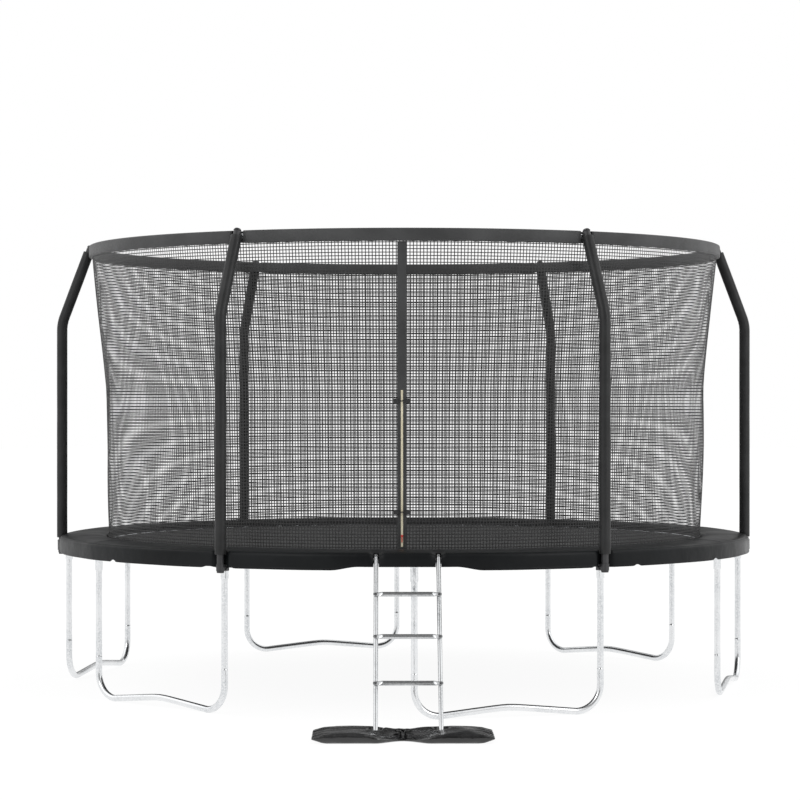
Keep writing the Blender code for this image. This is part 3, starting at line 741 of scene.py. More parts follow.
band_cloth = satin_cloth("band_cloth", (0.026, 0.0265, 0.027), (0.056, 0.057, 0.058), 0.50, 0.12, 700.0)
cover_section = soft_box_section(SLEEVE_INNER, SLEEVE_OUTER, SLEEVE_LOW, SLEEVE_HIGH, 0.0085, 0.0004)
strip_section = soft_box_section(SLEEVE_INNER, SLEEVE_STRIP, SLEEVE_LOW + 0.004, SLEEVE_HIGH - 0.004,
                                 0.0025, 0.0)
covers = []
for number in range(6):
    cover = spin_section("cover", cover_section, 60 * number + WINDOW_DEG, 60 - 2 * WINDOW_DEG, 84)
    strip = spin_section("strip", strip_section, 60 * number - WINDOW_DEG - 0.25, 2 * WINDOW_DEG + 0.5, 6)
    covers += [thicken(cover, COVER_WALL), thicken(strip, COVER_WALL)]
ring_cover = join_pieces("ring_cover", covers)
for vertex in ring_cover.data.vertices:
    degrees, radius, height = polar(vertex.co)
    near_pole = abs(angle_apart((degrees + 30.0) % 60.0, 30.0))
    tight = math.exp(-((near_pole - WINDOW_DEG) / 2.4) ** 2)
    low = max(0.0, (2.690 - height) / 0.034)
    pucker = math.sin(degrees * 7.0) + 0.6 * math.sin(degrees * 17.3 + 1.0)
    vertex.co.z += 0.0016 * low * math.sin(degrees * 13.0 + 2.0 * math.sin(degrees * 1.7))
    outwards = Vector((math.cos(math.radians(degrees)), math.sin(math.radians(degrees)), 0.0))
    if radius > RING_RADIUS:
        vertex.co += outwards * (0.0007 * pucker * low - 0.0030 * tight * low)
cloth_uv(ring_cover, lambda p: math.radians(polar(p)[0]) * 1.96, lambda p: p.z)
finish_piece(ring_cover, band_cloth, "band_fabric", "frame", "ring_sleeve")

# A row of stitches, left out at the poles, holds the cover's lower edge to the net.
STITCH_TURN = 0.35
STITCH_COUNT = 1029
thread_cloth = paint_material("sewing_thread", (0.05, 0.05, 0.052), (0.10, 0.10, 0.105),
                              0.5, 0.7, 700.0, 0.0002)


def repeat(name, pattern, places):
    """One piece from many copies of a small one, each put in place by a matrix."""
    corners = [v.co.copy() for v in pattern.data.vertices]
    sides = [tuple(face.vertices) for face in pattern.data.polygons]
    points, faces = [], []
    for place in places:
        base = len(points)
        points += [place @ corner for corner in corners]
        faces += [tuple(base + k for k in side) for side in sides]
    bpy.data.objects.remove(pattern)
    mesh = bpy.data.meshes.new(name)
    mesh.from_pydata(points, [], faces)
    piece = bpy.data.objects.new(name, mesh)
    bpy.context.scene.collection.objects.link(piece)
    bpy.ops.object.select_all(action="DESELECT")
    bpy.context.view_layer.objects.active = piece
    piece.select_set(True)
    bpy.ops.object.shade_smooth_by_angle(angle=math.radians(40))
    return piece


def bevelled_block(name, size, middle=(0, 0, 0), bevel=0.0, segments=1):
    """A cube at its size with all its edges rounded."""
    bpy.ops.object.select_all(action="DESELECT")
    bpy.ops.mesh.primitive_cube_add(size=1.0, location=middle, scale=size)
    made = bpy.context.object
    made.name = name
    bpy.ops.object.transform_apply(location=True, rotation=True, scale=True)
    if bevel:
        bpy.ops.object.mode_set(mode="EDIT")
        bpy.ops.mesh.select_all(action="SELECT")
        bpy.ops.mesh.bevel(offset=bevel, segments=segments, affect="EDGES")
        bpy.ops.object.mode_set(mode="OBJECT")
    return made


def round_place(degrees, radius, height):
    """Puts a small piece at an angle round the axis: its +X outwards and its +Y along the ring."""
    turned = Matrix.Rotation(math.radians(degrees), 4, "Z")
    return Matrix.Translation(at_angle(degrees, radius, height)) @ turned


stitch = bevelled_block("stitch", (0.0008, 0.0065, 0.0013))
sewn = [round_place(STITCH_TURN * k, 1.9829, 2.6655) for k in range(STITCH_COUNT)
        if abs(angle_apart(STITCH_TURN * k % 60.0, 0)) > 1.6]
cover_stitches = repeat("ring_cover_stitches", stitch, sewn)
finish_piece(cover_stitches, thread_cloth, "band_fabric", "frame")

# ---- Safety net ------------------------------------------------------------------------------
# A knitted polyethylene net with square meshes hangs from the ring inside the poles, down to the
# rim of the mat. It narrows towards the mat and pulls into long soft waves.
NET_PROFILE = ((0.896, 1.8590), (1.830, 1.8840), (2.270, 1.9300), (2.6565, 1.9645))
NET_LOW = 0.8965
NET_HIGH = 2.6600
NET_BASE_RADIUS = 1.9
ENTRANCE_DEG = 268.1
STRAND_HALF = 0.0026
STRAND_THIN = 0.0005
NET_SETBACK = 0.0032
LACE_CORD = 0.0022
UPRIGHT_COUNT = 640
ROW_COUNT = 94


def net_radius(height):
    for (low, start), (high, end) in zip(NET_PROFILE, NET_PROFILE[1:]):
        if height <= high:
            break
    return start + (end - start) * (height - low) / (high - low)


def net_face(height):
    """Distance from the axis to the flat stretch of net that carries the zip."""
    return net_radius(height) * math.cos(math.radians(3.0))


def net_wave(degrees, height):
    """How far the net swings in or out of its plain shape."""
    hang = math.sin(math.pi * min(1.0, max(0.0, (height - NET_LOW) / (NET_HIGH - NET_LOW))))
    turned = math.radians(degrees)
    swing = math.sin(6.0 * turned + 2.2 * height) + 0.7 * math.sin(11.0 * turned - 3.1 * height + 1.0)
    return 0.0075 * hang * (swing + 0.5 * math.sin(23.0 * turned + 4.0 * height))


polyethylene = paint_material("black_polyethylene", (0.010, 0.010, 0.010), (0.022, 0.022, 0.023),
                              0.42, 0.6, 260.0, 0.0003)
levels = 24
strand = ((STRAND_THIN, -STRAND_HALF), (STRAND_THIN, STRAND_HALF), (-STRAND_THIN, 0.0))
net_foot = at_angle(0, NET_BASE_RADIUS, NET_LOW)
upright = outline_piece("upright", [net_foot + Vector((thin, wide, 0.0)) for thin, wide in strand])
for _ in range(levels):
    draw_out((0, 0, (NET_HIGH - NET_LOW) / levels))
end_mesh()
uprights = repeat("uprights", upright, [round_axis(360.0 * k / UPRIGHT_COUNT) for k in range(UPRIGHT_COUNT)])
row = spin_section("row", [(NET_BASE_RADIUS + thin, wide) for thin, wide in strand], 0, 360, 160)
row_step = (NET_HIGH - NET_LOW - 0.012) / (ROW_COUNT - 1)
row_places = [Matrix.Translation(UP * (NET_LOW + 0.004 + row_step * k)) for k in range(ROW_COUNT)]
rows = repeat("rows", row, row_places)
net = join_pieces("safety_net", [uprights, rows])
entrance_out = at_angle(ENTRANCE_DEG, 1.0, 0.0) - AXIS
for vertex in net.data.vertices:
    degrees, radius, height = polar(vertex.co)
    moved = radius - NET_BASE_RADIUS + net_radius(height) - NET_SETBACK + net_wave(degrees, height)
    vertex.co = at_angle(degrees, moved, height)
    near_zip = abs(angle_apart(degrees, ENTRANCE_DEG))
    if near_zip < 8.0:
        settle = min(1.0, max(0.0, (8.0 - near_zip) / 5.0))
        plain = at_angle(degrees, radius - NET_BASE_RADIUS + net_radius(height) - NET_SETBACK, height)
        vertex.co = vertex.co.lerp(plain, settle)
        beyond = (vertex.co - AXIS).dot(entrance_out) - (net_face(height) - 0.0004)
        if near_zip < 3.2 and beyond > 0:
            vertex.co -= entrance_out * beyond
finish_piece(net, polyethylene, "net_mesh", "frame", "net")

# A cord laces the net's lower edge to the mat's rings in a zigzag, over a narrow sewn hem.
lace_count = 320
lace_step = 360.0 / lace_count
lace_rise = 0.034
lace_run = math.radians(lace_step / 2) * 1.8585
lace_way = Vector((0.0, lace_run, lace_rise))
lace_up = begin_tube("lace", (0, 0, 0), lace_way, LACE_CORD, 4)
draw_out(lace_way)
lace_up = end_mesh()
lace_way = Vector((0.0, lace_run, -lace_rise))
begin_tube("lace_down", (0, lace_run, lace_rise), lace_way, LACE_CORD, 4)
draw_out(lace_way)
lace = join_pieces("lace", [lace_up, end_mesh()])
lacing = repeat("net_lacing", lace, [round_place(lace_step * k, 1.8602, 0.9000) for k in range(lace_count)])
finish_piece(lacing, polyethylene, "net_mesh", "frame")

webbing_cloth = satin_cloth("webbing_cloth", (0.020, 0.0205, 0.021), (0.048, 0.049, 0.050), 0.62, 0.15, 460.0)
net_hem = spin_section("net_hem", [(1.8535, 0.8972), (1.8552, 0.8972), (1.8552, 0.9120), (1.8535, 0.9120)],
                       0, 360, 360, smooth_deg=30)
cloth_uv(net_hem, lambda p: math.radians(polar(p)[0]) * 1.85, lambda p: p.z)
finish_piece(net_hem, webbing_cloth, "webbing", "frame")

# ---- Entrance: webbing band ------------------------------------------------------------------
# A flat webbing band is sewn up the net from the mat to the ring. It has a corded edge on each
# side, carries the zip and the buckles, and takes the strain of the way in.
side_right = rail_direction(ENTRANCE_DEG)
BAND_LOW = 0.905
BAND_HIGH = 2.6565


def on_entrance(sideways_by, outwards_by, height):
    return AXIS + entrance_out * (net_face(height) + outwards_by) + side_right * sideways_by + UP * height


def strip_on_net(name, outline, heights, smooth_deg=30.0):
    """A strip up the entrance. Its outline is points of (sideways, outwards)."""
    outline_piece(name, [on_entrance(x, y, heights[0]) for x, y in outline])
    for low, high in zip(heights, heights[1:]):
        draw_out(on_entrance(0, 0, high) - on_entrance(0, 0, low))
    return end_mesh(smooth_deg)


def steps_between(low, high, length):
    count = max(1, round((high - low) / length))
    return [low + (high - low) * k / count for k in range(count + 1)]


band_outline = ((-0.0255, 0.0006), (-0.0255, 0.0019), (-0.0246, 0.0025), (-0.0236, 0.0025), (-0.0228, 0.0018),
                (0.0228, 0.0018), (0.0236, 0.0025), (0.0246, 0.0025), (0.0255, 0.0019), (0.0255, 0.0006))
BAND_STEP = 0.03
band_heights = steps_between(BAND_LOW, 1.83, BAND_STEP) + steps_between(1.83, 2.27, BAND_STEP)[1:]
band_heights += steps_between(2.27, BAND_HIGH, BAND_STEP)[1:]
entrance_band = strip_on_net("entrance_webbing", band_outline, band_heights)
cloth_uv(entrance_band, lambda p: (p - AXIS).dot(side_right), lambda p: p.z)
finish_piece(entrance_band, webbing_cloth, "webbing", "frame", "entrance_band")

# Two seams run up the band, one on each side of the zip.
seam_stitch = bevelled_block("seam_stitch", (0.0011, 0.0007, 0.0050))


def entrance_place(sideways_by, outwards_by, height):
    """Puts a small piece on the entrance: its +X to the right, its -Y outwards."""
    lean_of = math.atan2(net_face(height + 0.02) - net_face(height - 0.02), 0.04)
    turned = Matrix((side_right, -entrance_out, UP)).transposed().to_4x4()
    moved = Matrix.Translation(on_entrance(sideways_by, outwards_by, height))
    return moved @ turned @ Matrix.Rotation(lean_of, 4, "X")


seams = [entrance_place(x, 0.0020, 0.915 + 0.0085 * k) for x in (-0.0195, 0.0195) for k in range(204)]
band_seams = repeat("entrance_seams", seam_stitch, seams)
finish_piece(band_seams, thread_cloth, "webbing", "frame")

# ---- Zip -------------------------------------------------------------------------------------
# A coarse cream plastic zip runs up the lower part of the band. Its teeth lock from both sides
# between two cords, with a stop at each end. The slider stands at the bottom, where it is shut.
ZIP_LOW = 0.945
ZIP_HIGH = 1.825
TOOTH_STEP = 0.002
TOOTH_COUNT = 436
cream_plastic = paint_material("cream_plastic", (0.62, 0.56, 0.40), (0.80, 0.75, 0.58),
                               0.34, 0.46, 500.0, 0.0002)
tooth = bevelled_block("tooth", (0.0062, 0.0022, 0.0030), (0, 0, 0), 0.0005)
tooth_rows = [entrance_place(-0.0016 if k % 2 else 0.0016, 0.0043, ZIP_LOW + 0.004 + TOOTH_STEP * k)
              for k in range(TOOTH_COUNT)]
teeth = repeat("teeth", tooth, tooth_rows)
cords = []
for x in (-0.0052, 0.0052):
    cord_outline = [(x + across, 0.0035 + up) for across, up in circle_points(6, 0.0009)]
    cords.append(strip_on_net("zip_cord", cord_outline, steps_between(ZIP_LOW, ZIP_HIGH, 0.08), 50))
stops = [bevelled_block("stop", (0.0100, 0.0030, 0.0050), (0, 0, 0), 0.0008) for _ in range(2)]
for stop, z in zip(stops, (ZIP_LOW + 0.0026, ZIP_HIGH - 0.0026)):
    stop.data.transform(entrance_place(0, 0.0041, z))
zip_teeth = join_pieces("zip_teeth", [teeth] + cords + stops)
finish_piece(zip_teeth, cream_plastic, "zip_teeth", "frame", "zip_chain")

# The slider is a red plastic body with a bridge, and a pull tab that hangs from the bridge.
SLIDER_Z = 1.000
red_plastic = paint_material("red_plastic", (0.42, 0.028, 0.020), (0.60, 0.060, 0.045),
                             0.30, 0.42, 420.0, 0.0002)
zip_front = 0.0060
body = bevelled_block("slider_body", (0.0145, 0.0026, 0.0120), (0, -zip_front - 0.0014, 0.006), 0.0007, 2)
for vertex in body.data.vertices:
    if vertex.co.z > 0.006:
        vertex.co.x *= 0.82
bridge = begin_tube("bridge", (0, -zip_front - 0.0022, 0.0015), (0, -1, 0), 0.0011, 8)
draw_out((0, -0.0012, 0))
bend_round((0, -zip_front - 0.0034, 0.0035), (1, 0, 0), -90, 4)
draw_out((0, 0, 0.0035))
bend_round((0, -zip_front - 0.0034, 0.0070), (1, 0, 0), -90, 4)
draw_out((0, 0.0012, 0))
bridge = end_mesh(50)
tab = bevelled_block("tab", (0.0080, 0.0016, 0.0340), (0, -zip_front - 0.0037, -0.0130), 0.0006, 2)
bpy.ops.object.mode_set(mode="EDIT")
bpy.ops.mesh.select_all(action="DESELECT")
bpy.ops.object.mode_set(mode="OBJECT")
for face in tab.data.polygons:
    face.select = face.normal.y < -0.99 and face.area > 0.0001
bpy.ops.object.mode_set(mode="EDIT")
bpy.ops.mesh.select_mode(type="FACE")
bpy.ops.mesh.inset(thickness=0.0014)
bpy.ops.mesh.extrude_region_move(TRANSFORM_OT_translate={"value": (0, 0.0004, 0)})
bpy.ops.object.mode_set(mode="OBJECT")
for vertex in tab.data.vertices:
    if vertex.co.z < -0.028:
        vertex.co.x *= 0.72
slider = join_pieces("zip_pull", [body, bridge, tab])
bpy.ops.object.shade_smooth_by_angle(angle=math.radians(35))
slider.data.transform(entrance_place(0, 0, SLIDER_Z))
finish_piece(slider, red_plastic, "slider_red", "slider", "zip_slider")

# ---- Entrance buckles ------------------------------------------------------------------------
# Two plastic side-release buckles close across the zip. The socket is sewn to the right of it and
# the tongue to the left. The tongue's bar runs over the zip and locks in the socket.
buckle_plastic = paint_material("buckle_plastic", (0.010, 0.010, 0.011), (0.020, 0.020, 0.021),
                                0.28, 0.40, 600.0, 0.0002)


def buckle_shell(side):
    """A block with a sunk front, a pressed rim and a strap bar at its outer end. Side is -1 or 1."""
    shell = bevelled_block("shell", (0.0250, 0.0148, 0.0280), (side * 0.0340, -0.0105, 0), 0.0022, 3)
    for face in shell.data.polygons:
        face.select = face.normal.y < -0.99 and face.area > 0.0002
    bpy.ops.object.mode_set(mode="EDIT")
    bpy.ops.mesh.select_mode(type="FACE")
    bpy.ops.mesh.inset(thickness=0.0028)
    bpy.ops.mesh.extrude_region_move(TRANSFORM_OT_translate={"value": (0, 0.0014, 0)})
    bpy.ops.mesh.inset(thickness=0.0020)
    bpy.ops.mesh.extrude_region_move(TRANSFORM_OT_translate={"value": (0, -0.0009, 0)})
    bpy.ops.object.mode_set(mode="OBJECT")
    for vertex in shell.data.vertices:
        if abs(vertex.co.x) > 0.042:
            vertex.co.z *= 0.86
    return shell


def cut_block(piece, size, middle):
    """Cuts a plain block out of a piece."""
    return cut_away(piece, bevelled_block("cutter", size, middle))


BUCKLE_HEIGHTS = (("lower", 1.140), ("upper", 1.765))
for label, z in BUCKLE_HEIGHTS:
    socket = cut_block(buckle_shell(1), (0.0150, 0.0040, 0.0070), (0.0285, -0.0143, 0))
    for rim in (-1, 1):
        socket = cut_block(socket, (0.0090, 0.0040, 0.0040), (0.0330, -0.0143, rim * 0.0140))
    socket.data.transform(entrance_place(0, 0, z))
    socket.name = f"buckle_socket_half_{label}"
    bpy.ops.object.shade_smooth_by_angle(angle=math.radians(35))
    finish_piece(socket, buckle_plastic, "cap_plastic", "frame", f"buckle_socket_{label}")
    grip = buckle_shell(-1)
    bar = bevelled_block("bar", (0.0580, 0.0028, 0.0060), (0.0040, -0.0143, 0), 0.0007, 2)
    tongue = join_pieces(f"buckle_tongue_half_{label}", [grip, bar])
    tongue.data.transform(entrance_place(0, 0, z))
    bpy.ops.object.shade_smooth_by_angle(angle=math.radians(35))
    finish_piece(tongue, buckle_plastic, "cap_plastic", f"{label}_tongue", f"buckle_tongue_{label}")

# ---- Jumping mat -----------------------------------------------------------------------------
# A round mat of woven polypropylene lies inside the frame. It is made here as twelve sectors that meet
# without a gap.
MAT_TOP = bed_high.z
MAT_RADIUS = (bed_high.x - bed_low.x) / 2
MAT_SECTORS = 12
MAT_TURN = 360 // MAT_SECTORS
MAT_RINGS = 18
MAT_WALL = 0.0016
mat_cloth = satin_cloth("mat_cloth", (0.010, 0.010, 0.0105), (0.025, 0.0255, 0.026), 0.60, 0.06, 330.0)
for number in range(MAT_SECTORS):
    first = MAT_TURN * number - MAT_TURN // 2
    spokes = [(0.0004 + (MAT_RADIUS - 0.0014) * k / MAT_RINGS, MAT_TOP - 0.0008)
              for k in range(MAT_RINGS + 1)]
    panel = spin_section("mat_panel", spokes, first, MAT_TURN, 12, closed=False)
    if panel.data.polygons[5].normal.z < 0:
        panel.data.flip_normals()
    thicken(panel, MAT_WALL)
    smooth_up_to(panel, 40)
    cloth_uv(panel, lambda p: p.x, lambda p: p.y)
    panel.name = f"mat_panel_{number + 1}"
    finish_piece(panel, mat_cloth, "mat_weave", None, "mat")
    middle = at_angle(MAT_TURN * number, 1.0, 0.0) - AXIS
    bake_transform(panel)

# The rim is folded under a band of webbing, with two rows of stitches, and a steel triangle in the
# fold for each spring.
SPRING_COUNT = 96
SPRING_STEP = 360.0 / SPRING_COUNT
edge_section = [(1.8010, MAT_TOP - 0.0026), (1.8010, MAT_TOP - 0.0004), (1.8030, MAT_TOP + 0.0004),
                (1.8480, MAT_TOP + 0.0004), (1.8505, MAT_TOP - 0.0010), (1.8505, MAT_TOP - 0.0034),
                (1.8480, MAT_TOP - 0.0046), (1.8030, MAT_TOP - 0.0040)]
mat_edge = spin_section("mat_edge", edge_section, 0, 360, 240, smooth_deg=40)
cloth_uv(mat_edge, lambda p: math.radians(polar(p)[0]) * 1.83, lambda p: polar(p)[1] + p.z)
finish_piece(mat_edge, webbing_cloth, "webbing", "frame")
rim_stitch = bevelled_block("rim_stitch", (0.0013, 0.0070, 0.0010))
RIM_SEAMS = (1.8085, 1.8430)
RIM_STITCHES = 1000
rim_rows = [round_place(0.36 * k, radius, MAT_TOP + 0.0006)
            for radius in RIM_SEAMS for k in range(RIM_STITCHES)]
mat_stitches = repeat("mat_stitches", rim_stitch, rim_rows)
finish_piece(mat_stitches, thread_cloth, "webbing", "frame")

# ---- Springs ---------------------------------------------------------------------------------
# Ninety-six zinc-plated coil springs pull the mat out to the frame ring. Each hooks into a
# triangle on the mat's rim and into a hole in the frame tube.
spring_zinc = zinc_material("spring_zinc", (0.48, 0.49, 0.51), (0.74, 0.75, 0.77), 0.22, 0.36, 220.0)
SPRING_Z = 0.8778
COIL_FROM = 1.8960
COIL_TURNS = 15
COIL_PITCH = 0.0106
COIL_RADIUS = 0.0088
WIRE = 0.0016
outline_piece("coil", [Vector((across, COIL_RADIUS + up, 0)) for across, up in circle_points(3, WIRE)])
bpy.ops.object.mode_set(mode="OBJECT")
coil = bpy.context.object
winding = coil.modifiers.new("winding", "SCREW")
winding.axis = "X"
winding.steps = 7
winding.render_steps = 7
winding.iterations = COIL_TURNS
winding.screw_offset = COIL_PITCH
winding.use_smooth_shade = True
bpy.ops.object.modifier_apply(modifier=winding.name)
bpy.ops.object.mode_set(mode="EDIT")
coil = end_mesh(60)
coil.data.transform(Matrix.Translation((COIL_FROM, 0, SPRING_Z)))
hooks = []
for start, reach, way in ((COIL_FROM, 1.8690, -1.0), (COIL_FROM + COIL_TURNS * COIL_PITCH, 2.0905, 1.0)):
    begin_tube("spring_hook", (start, COIL_RADIUS, SPRING_Z), (0, -1, 0), WIRE, 5)
    draw_out((way * 0.003, -COIL_RADIUS * 0.8, 0.0))
    draw_out((way * 0.005, -COIL_RADIUS * 0.2, 0.0))
    draw_out((reach - start - way * 0.010, 0, 0.0))
    draw_out((way * 0.002, 0, 0.0032))
    hooks.append(end_mesh(60))
triangle = []
corners = [Vector((1.8470, -0.014, 0.8905)), Vector((1.8470, 0.014, 0.8905)), Vector((1.8720, 0.0, 0.8790))]
for here, there in zip(corners, corners[1:] + corners[:1]):
    begin_tube("triangle", here, there - here, WIRE, 5)
    draw_out(there - here)
    triangle.append(end_mesh(60))
spring = join_pieces("spring", [coil] + hooks + triangle)
spring_places = [Matrix.Translation(AXIS) @ Matrix.Rotation(math.radians(SPRING_STEP * (k + 0.5)), 4, "Z")
                 for k in range(SPRING_COUNT)]
half_count = SPRING_COUNT // 2
for half in range(2):
    part = spring if half else spring.copy()
    if not half:
        part.data = spring.data.copy()
        bpy.context.scene.collection.objects.link(part)
    springs = repeat(f"springs_{half + 1}", part, spring_places[half_count * half:half_count * (half + 1)])
    if half:
        finish_piece(springs, spring_zinc, "spring_steel", "frame", "spring_ring")
    else:
        finish_piece(springs, spring_zinc, "spring_steel", "frame")

# ---- Safety pad ------------------------------------------------------------------------------
# A ring of foam in glossy black vinyl lies over the springs and the frame ring. It is drawn in
# where a pole passes it and slit where a ladder hook goes over the frame tube.
LADDER_DEG = 268.94
LADDER_HALF_WIDTH = 0.172
HOOK_SLOT = (0.176, 0.0300, 0.1214)
PAD_STEPS = 1080
vinyl, tree, shader = new_material("pad_vinyl", 0.36, specular=0.13)
clouds = use_group(tree, clouding, Broad=2.6, Fine=520.0)
two_tone(tree, (clouds, "Broad"), (0.0036, 0.0042, 0.0047), (0.0084, 0.0095, 0.0103),
         shader.inputs["Base Color"])
rough = map_range(tree, (clouds, "Broad"), 0.0, 1.0, 0.30, 0.46)
join_nodes(tree, rough, "Result", shader, "Roughness")
soft = relief(tree, (clouds, "Broad"), 0.012, shader, 0.35)
relief(tree, (clouds, "Fine"), 0.0002, shader, 0.35, over=soft)


def ease(value):
    value = min(1.0, max(0.0, value))
    return value * value * (3.0 - 2.0 * value)


# How far out the cover is measured round, how much it gives at a pole's foam, how deep a hook
# presses it, and how far its hem rises over the ladder.
COVER_REACH = 2.16
FOAM_PULL = 0.225
HOOK_PRESS = 0.012
LADDER_LIFT = 0.021


def cover_rule(point, is_skirt):
    """Where a point of the pad's cover lies once poles, ladder and its own slack have shaped it."""
    degrees, radius, height = polar(point)
    pole = round(degrees / 60.0) * 60.0
    from_pole = abs(math.radians(angle_apart(degrees, pole))) * COVER_REACH
    beside = pole % 180.0 == 0.0
    hang = min(1.0, max(0.0, (0.918 - height) / 0.090))
    turned = math.radians(degrees)
    slack = noise.noise(Vector((math.cos(turned) * 7, math.sin(turned) * 7, height * 4)))
    fine_slack = noise.noise(point * 14.0)
    pull = 1.0 - ease((from_pole - 0.028) / 0.030)
    drawn_in = radius - max(0.0, radius - 2.05) * FOAM_PULL * pull
    if is_skirt and beside and height < 0.901:
        out = 1.0 - ease((from_pole - 0.040) / 0.090)
        fold = ease((0.901 - height) / 0.010)
        drawn_in = drawn_in * (1.0 - fold) + fold * (radius + (2.1855 - radius) * out)
    radius = drawn_in + hang * (0.0030 * slack + 0.0012 * fine_slack)
    if height > 0.915:
        height += 0.0016 * slack * ease((2.15 - radius) / 0.08)
    from_ladder = abs(math.radians(angle_apart(degrees, LADDER_DEG))) * COVER_REACH
    lift = LADDER_LIFT * (1.0 - ease((from_ladder - 0.27) / 0.16))
    for angle, half, rise in SKIRT_NOTCHES:
        lift += rise * math.exp(-(angle_apart(degrees, angle) / half) ** 4)
    lift += 0.0018 * noise.noise(Vector((degrees * 0.11, 3.0, 0.0)))
    height += lift * hang ** 2
    off_middle = abs(radius * math.sin(math.radians(angle_apart(degrees, LADDER_DEG))))
    from_hook = abs(off_middle - LADDER_HALF_WIDTH)
    if from_ladder < 0.3:
        pressed = HOOK_PRESS * (1.0 - ease((from_hook - 0.015) / 0.026))
        radius -= 0.6 * pressed * ease((height - 0.850) / 0.030) * ease((radius - 2.10) / 0.030)
        height -= pressed * ease((radius - 2.060) / 0.040) * ease((height - 0.866) / 0.050)
    return at_angle(degrees, radius, height)


# Angle, half width in degrees and rise of each place where the skirt's hem is gathered up.
SKIRT_NOTCHES = ((216.9, 0.55, 0.012), (237.9, 0.9, 0.008), (241.8, 0.5, 0.004), (298.3, 0.5, 0.006),
                 (306.2, 0.5, 0.009), (326.5, 0.6, 0.011), (60.0 + 35.0, 0.6, 0.010), (150.0, 0.7, 0.008),
                 (33.0, 0.6, 0.009))
pad_section = ((1.8728, 0.8940), (1.8722, 0.9070), (1.8745, 0.9185), (1.8800, 0.9242), (1.8890, 0.9275),
               (1.8950, 0.9268), (1.9020, 0.9305), (1.9250, 0.9345), (1.9650, 0.9368), (2.0100, 0.9378),
               (2.0500, 0.9370), (2.0900, 0.9345), (2.1200, 0.9308), (2.1320, 0.9285), (2.1380, 0.9265),
               (2.1450, 0.9240), (2.1530, 0.9190), (2.1575, 0.9110), (2.1580, 0.9020), (2.1545, 0.8942),
               (2.1000, 0.8930), (1.9850, 0.8928))
pad = spin_section("pad", pad_section, 0, 360, PAD_STEPS, smooth_deg=60)
for vertex in pad.data.vertices:
    vertex.co = cover_rule(vertex.co, False)


def slit_for_hooks(piece):
    """Cuts the two slots that the ladder's hooks go through."""
    for side in (-1, 1):
        cutter = bevelled_block("hook_slot", HOOK_SLOT, (2.148, side * LADDER_HALF_WIDTH, 0.8607))
        cutter.data.transform(Matrix.Translation(AXIS) @ Matrix.Rotation(math.radians(LADDER_DEG), 4, "Z"))
        cut_away(piece, cutter)


slit_for_hooks(pad)
pad.name = "spring_pad"
finish_piece(pad, vinyl, "pad_vinyl", "frame", "safety_pad")

# The cover's skirt hangs from the rim over the frame ring. Its hem is turned up and gathered, it
# rises at the ladder, and beside the two outer poles it is slit and hangs outside them.
skirt_section = ((2.1480, 0.9228), (2.1545, 0.9203), (2.1595, 0.9145), (2.1612, 0.9070), (2.1618, 0.9020),
                 (2.1622, 0.8965), (2.1626, 0.8900), (2.1630, 0.8800), (2.1634, 0.8680), (2.1637, 0.8560),
                 (2.1637, 0.8460), (2.1636, 0.8390), (2.1642, 0.8375), (2.1638, 0.8325), (2.1630, 0.8283))
skirt = spin_section("skirt", skirt_section, 0, 360, PAD_STEPS, closed=False, smooth_deg=60)
if skirt.data.polygons[0].normal.dot(skirt.data.polygons[0].center - AXIS) < 0:
    skirt.data.flip_normals()
for vertex in skirt.data.vertices:
    vertex.co = cover_rule(vertex.co, True)
thicken(skirt, COVER_WALL)
slit_for_hooks(skirt)
skirt.name = "pad_skirt"
finish_piece(skirt, vinyl, "pad_vinyl", "frame", "safety_pad")

# Welts cover the seams: one along the pad's inner edge, one round its rim, and one across each
# join of its six lengths.
WELT_RADIUS = 0.0016
JOIN_WELT_RADIUS = 0.0017
WELT_LINES = ((1.8752, 0.9208), (2.1512, 0.9222))
welts = []
for radius, height in WELT_LINES:
    ring = [(radius + across, height + up) for across, up in circle_points(6, WELT_RADIUS)]
    welts.append(spin_section("welt", ring, 0, 360, PAD_STEPS, smooth_deg=60))
top_line = pad_section[2:17]
for number in range(6):
    join_deg = 30 + 60 * number
    start = at_angle(join_deg, *top_line[0])
    begin_tube("welt", start, at_angle(join_deg, *top_line[1]) - start, JOIN_WELT_RADIUS, 6)
    for here, there in zip(top_line, top_line[1:]):
        draw_out(at_angle(join_deg, *there) - at_angle(join_deg, *here))
    welts.append(end_mesh(60))
pad_welts = join_pieces("pad_welts", welts)
for vertex in pad_welts.data.vertices:
    vertex.co = cover_rule(vertex.co, False)
finish_piece(pad_welts, vinyl, "pad_vinyl", "frame")

# ---- Ladder ----------------------------------------------------------------------------------
# Two galvanised tubes lean out from the frame ring to the ground. A curved hook plugs into the top
# of each and goes over the frame tube, so the ladder swings on it.
LADDER_LEAN = math.radians(41.0)
LADDER_TUBE = 0.0125
HOOK_BEND = 0.0345
HOOK_TAIL = 0.022
HOOK_SOCKET = 0.178
RAIL_END = 1.145
RUNG_PLACES = (0.256, 0.539, 0.843)
RUNG_FROM = -0.1865
RUNG_TUBE = 0.014
RUNG_BOLT_LENGTH = 0.0305
RUNG_BOLT_HEAD = 0.0058
hinge_reach = math.sqrt(FRAME_RADIUS ** 2 - LADDER_HALF_WIDTH ** 2)
ladder_out = at_angle(LADDER_DEG, 1.0, 0.0) - AXIS
ladder_right = rail_direction(LADDER_DEG)
hinge = AXIS + ladder_out * hinge_reach + UP * FRAME_Z
rail_down = ladder_out * math.sin(LADDER_LEAN) - UP * math.cos(LADDER_LEAN)
rail_front = ladder_out * math.cos(LADDER_LEAN) + UP * math.sin(LADDER_LEAN)
ladder_zinc = zinc_material("ladder_zinc", (0.38, 0.39, 0.40), (0.66, 0.67, 0.68), 0.13, 0.22, 160.0)
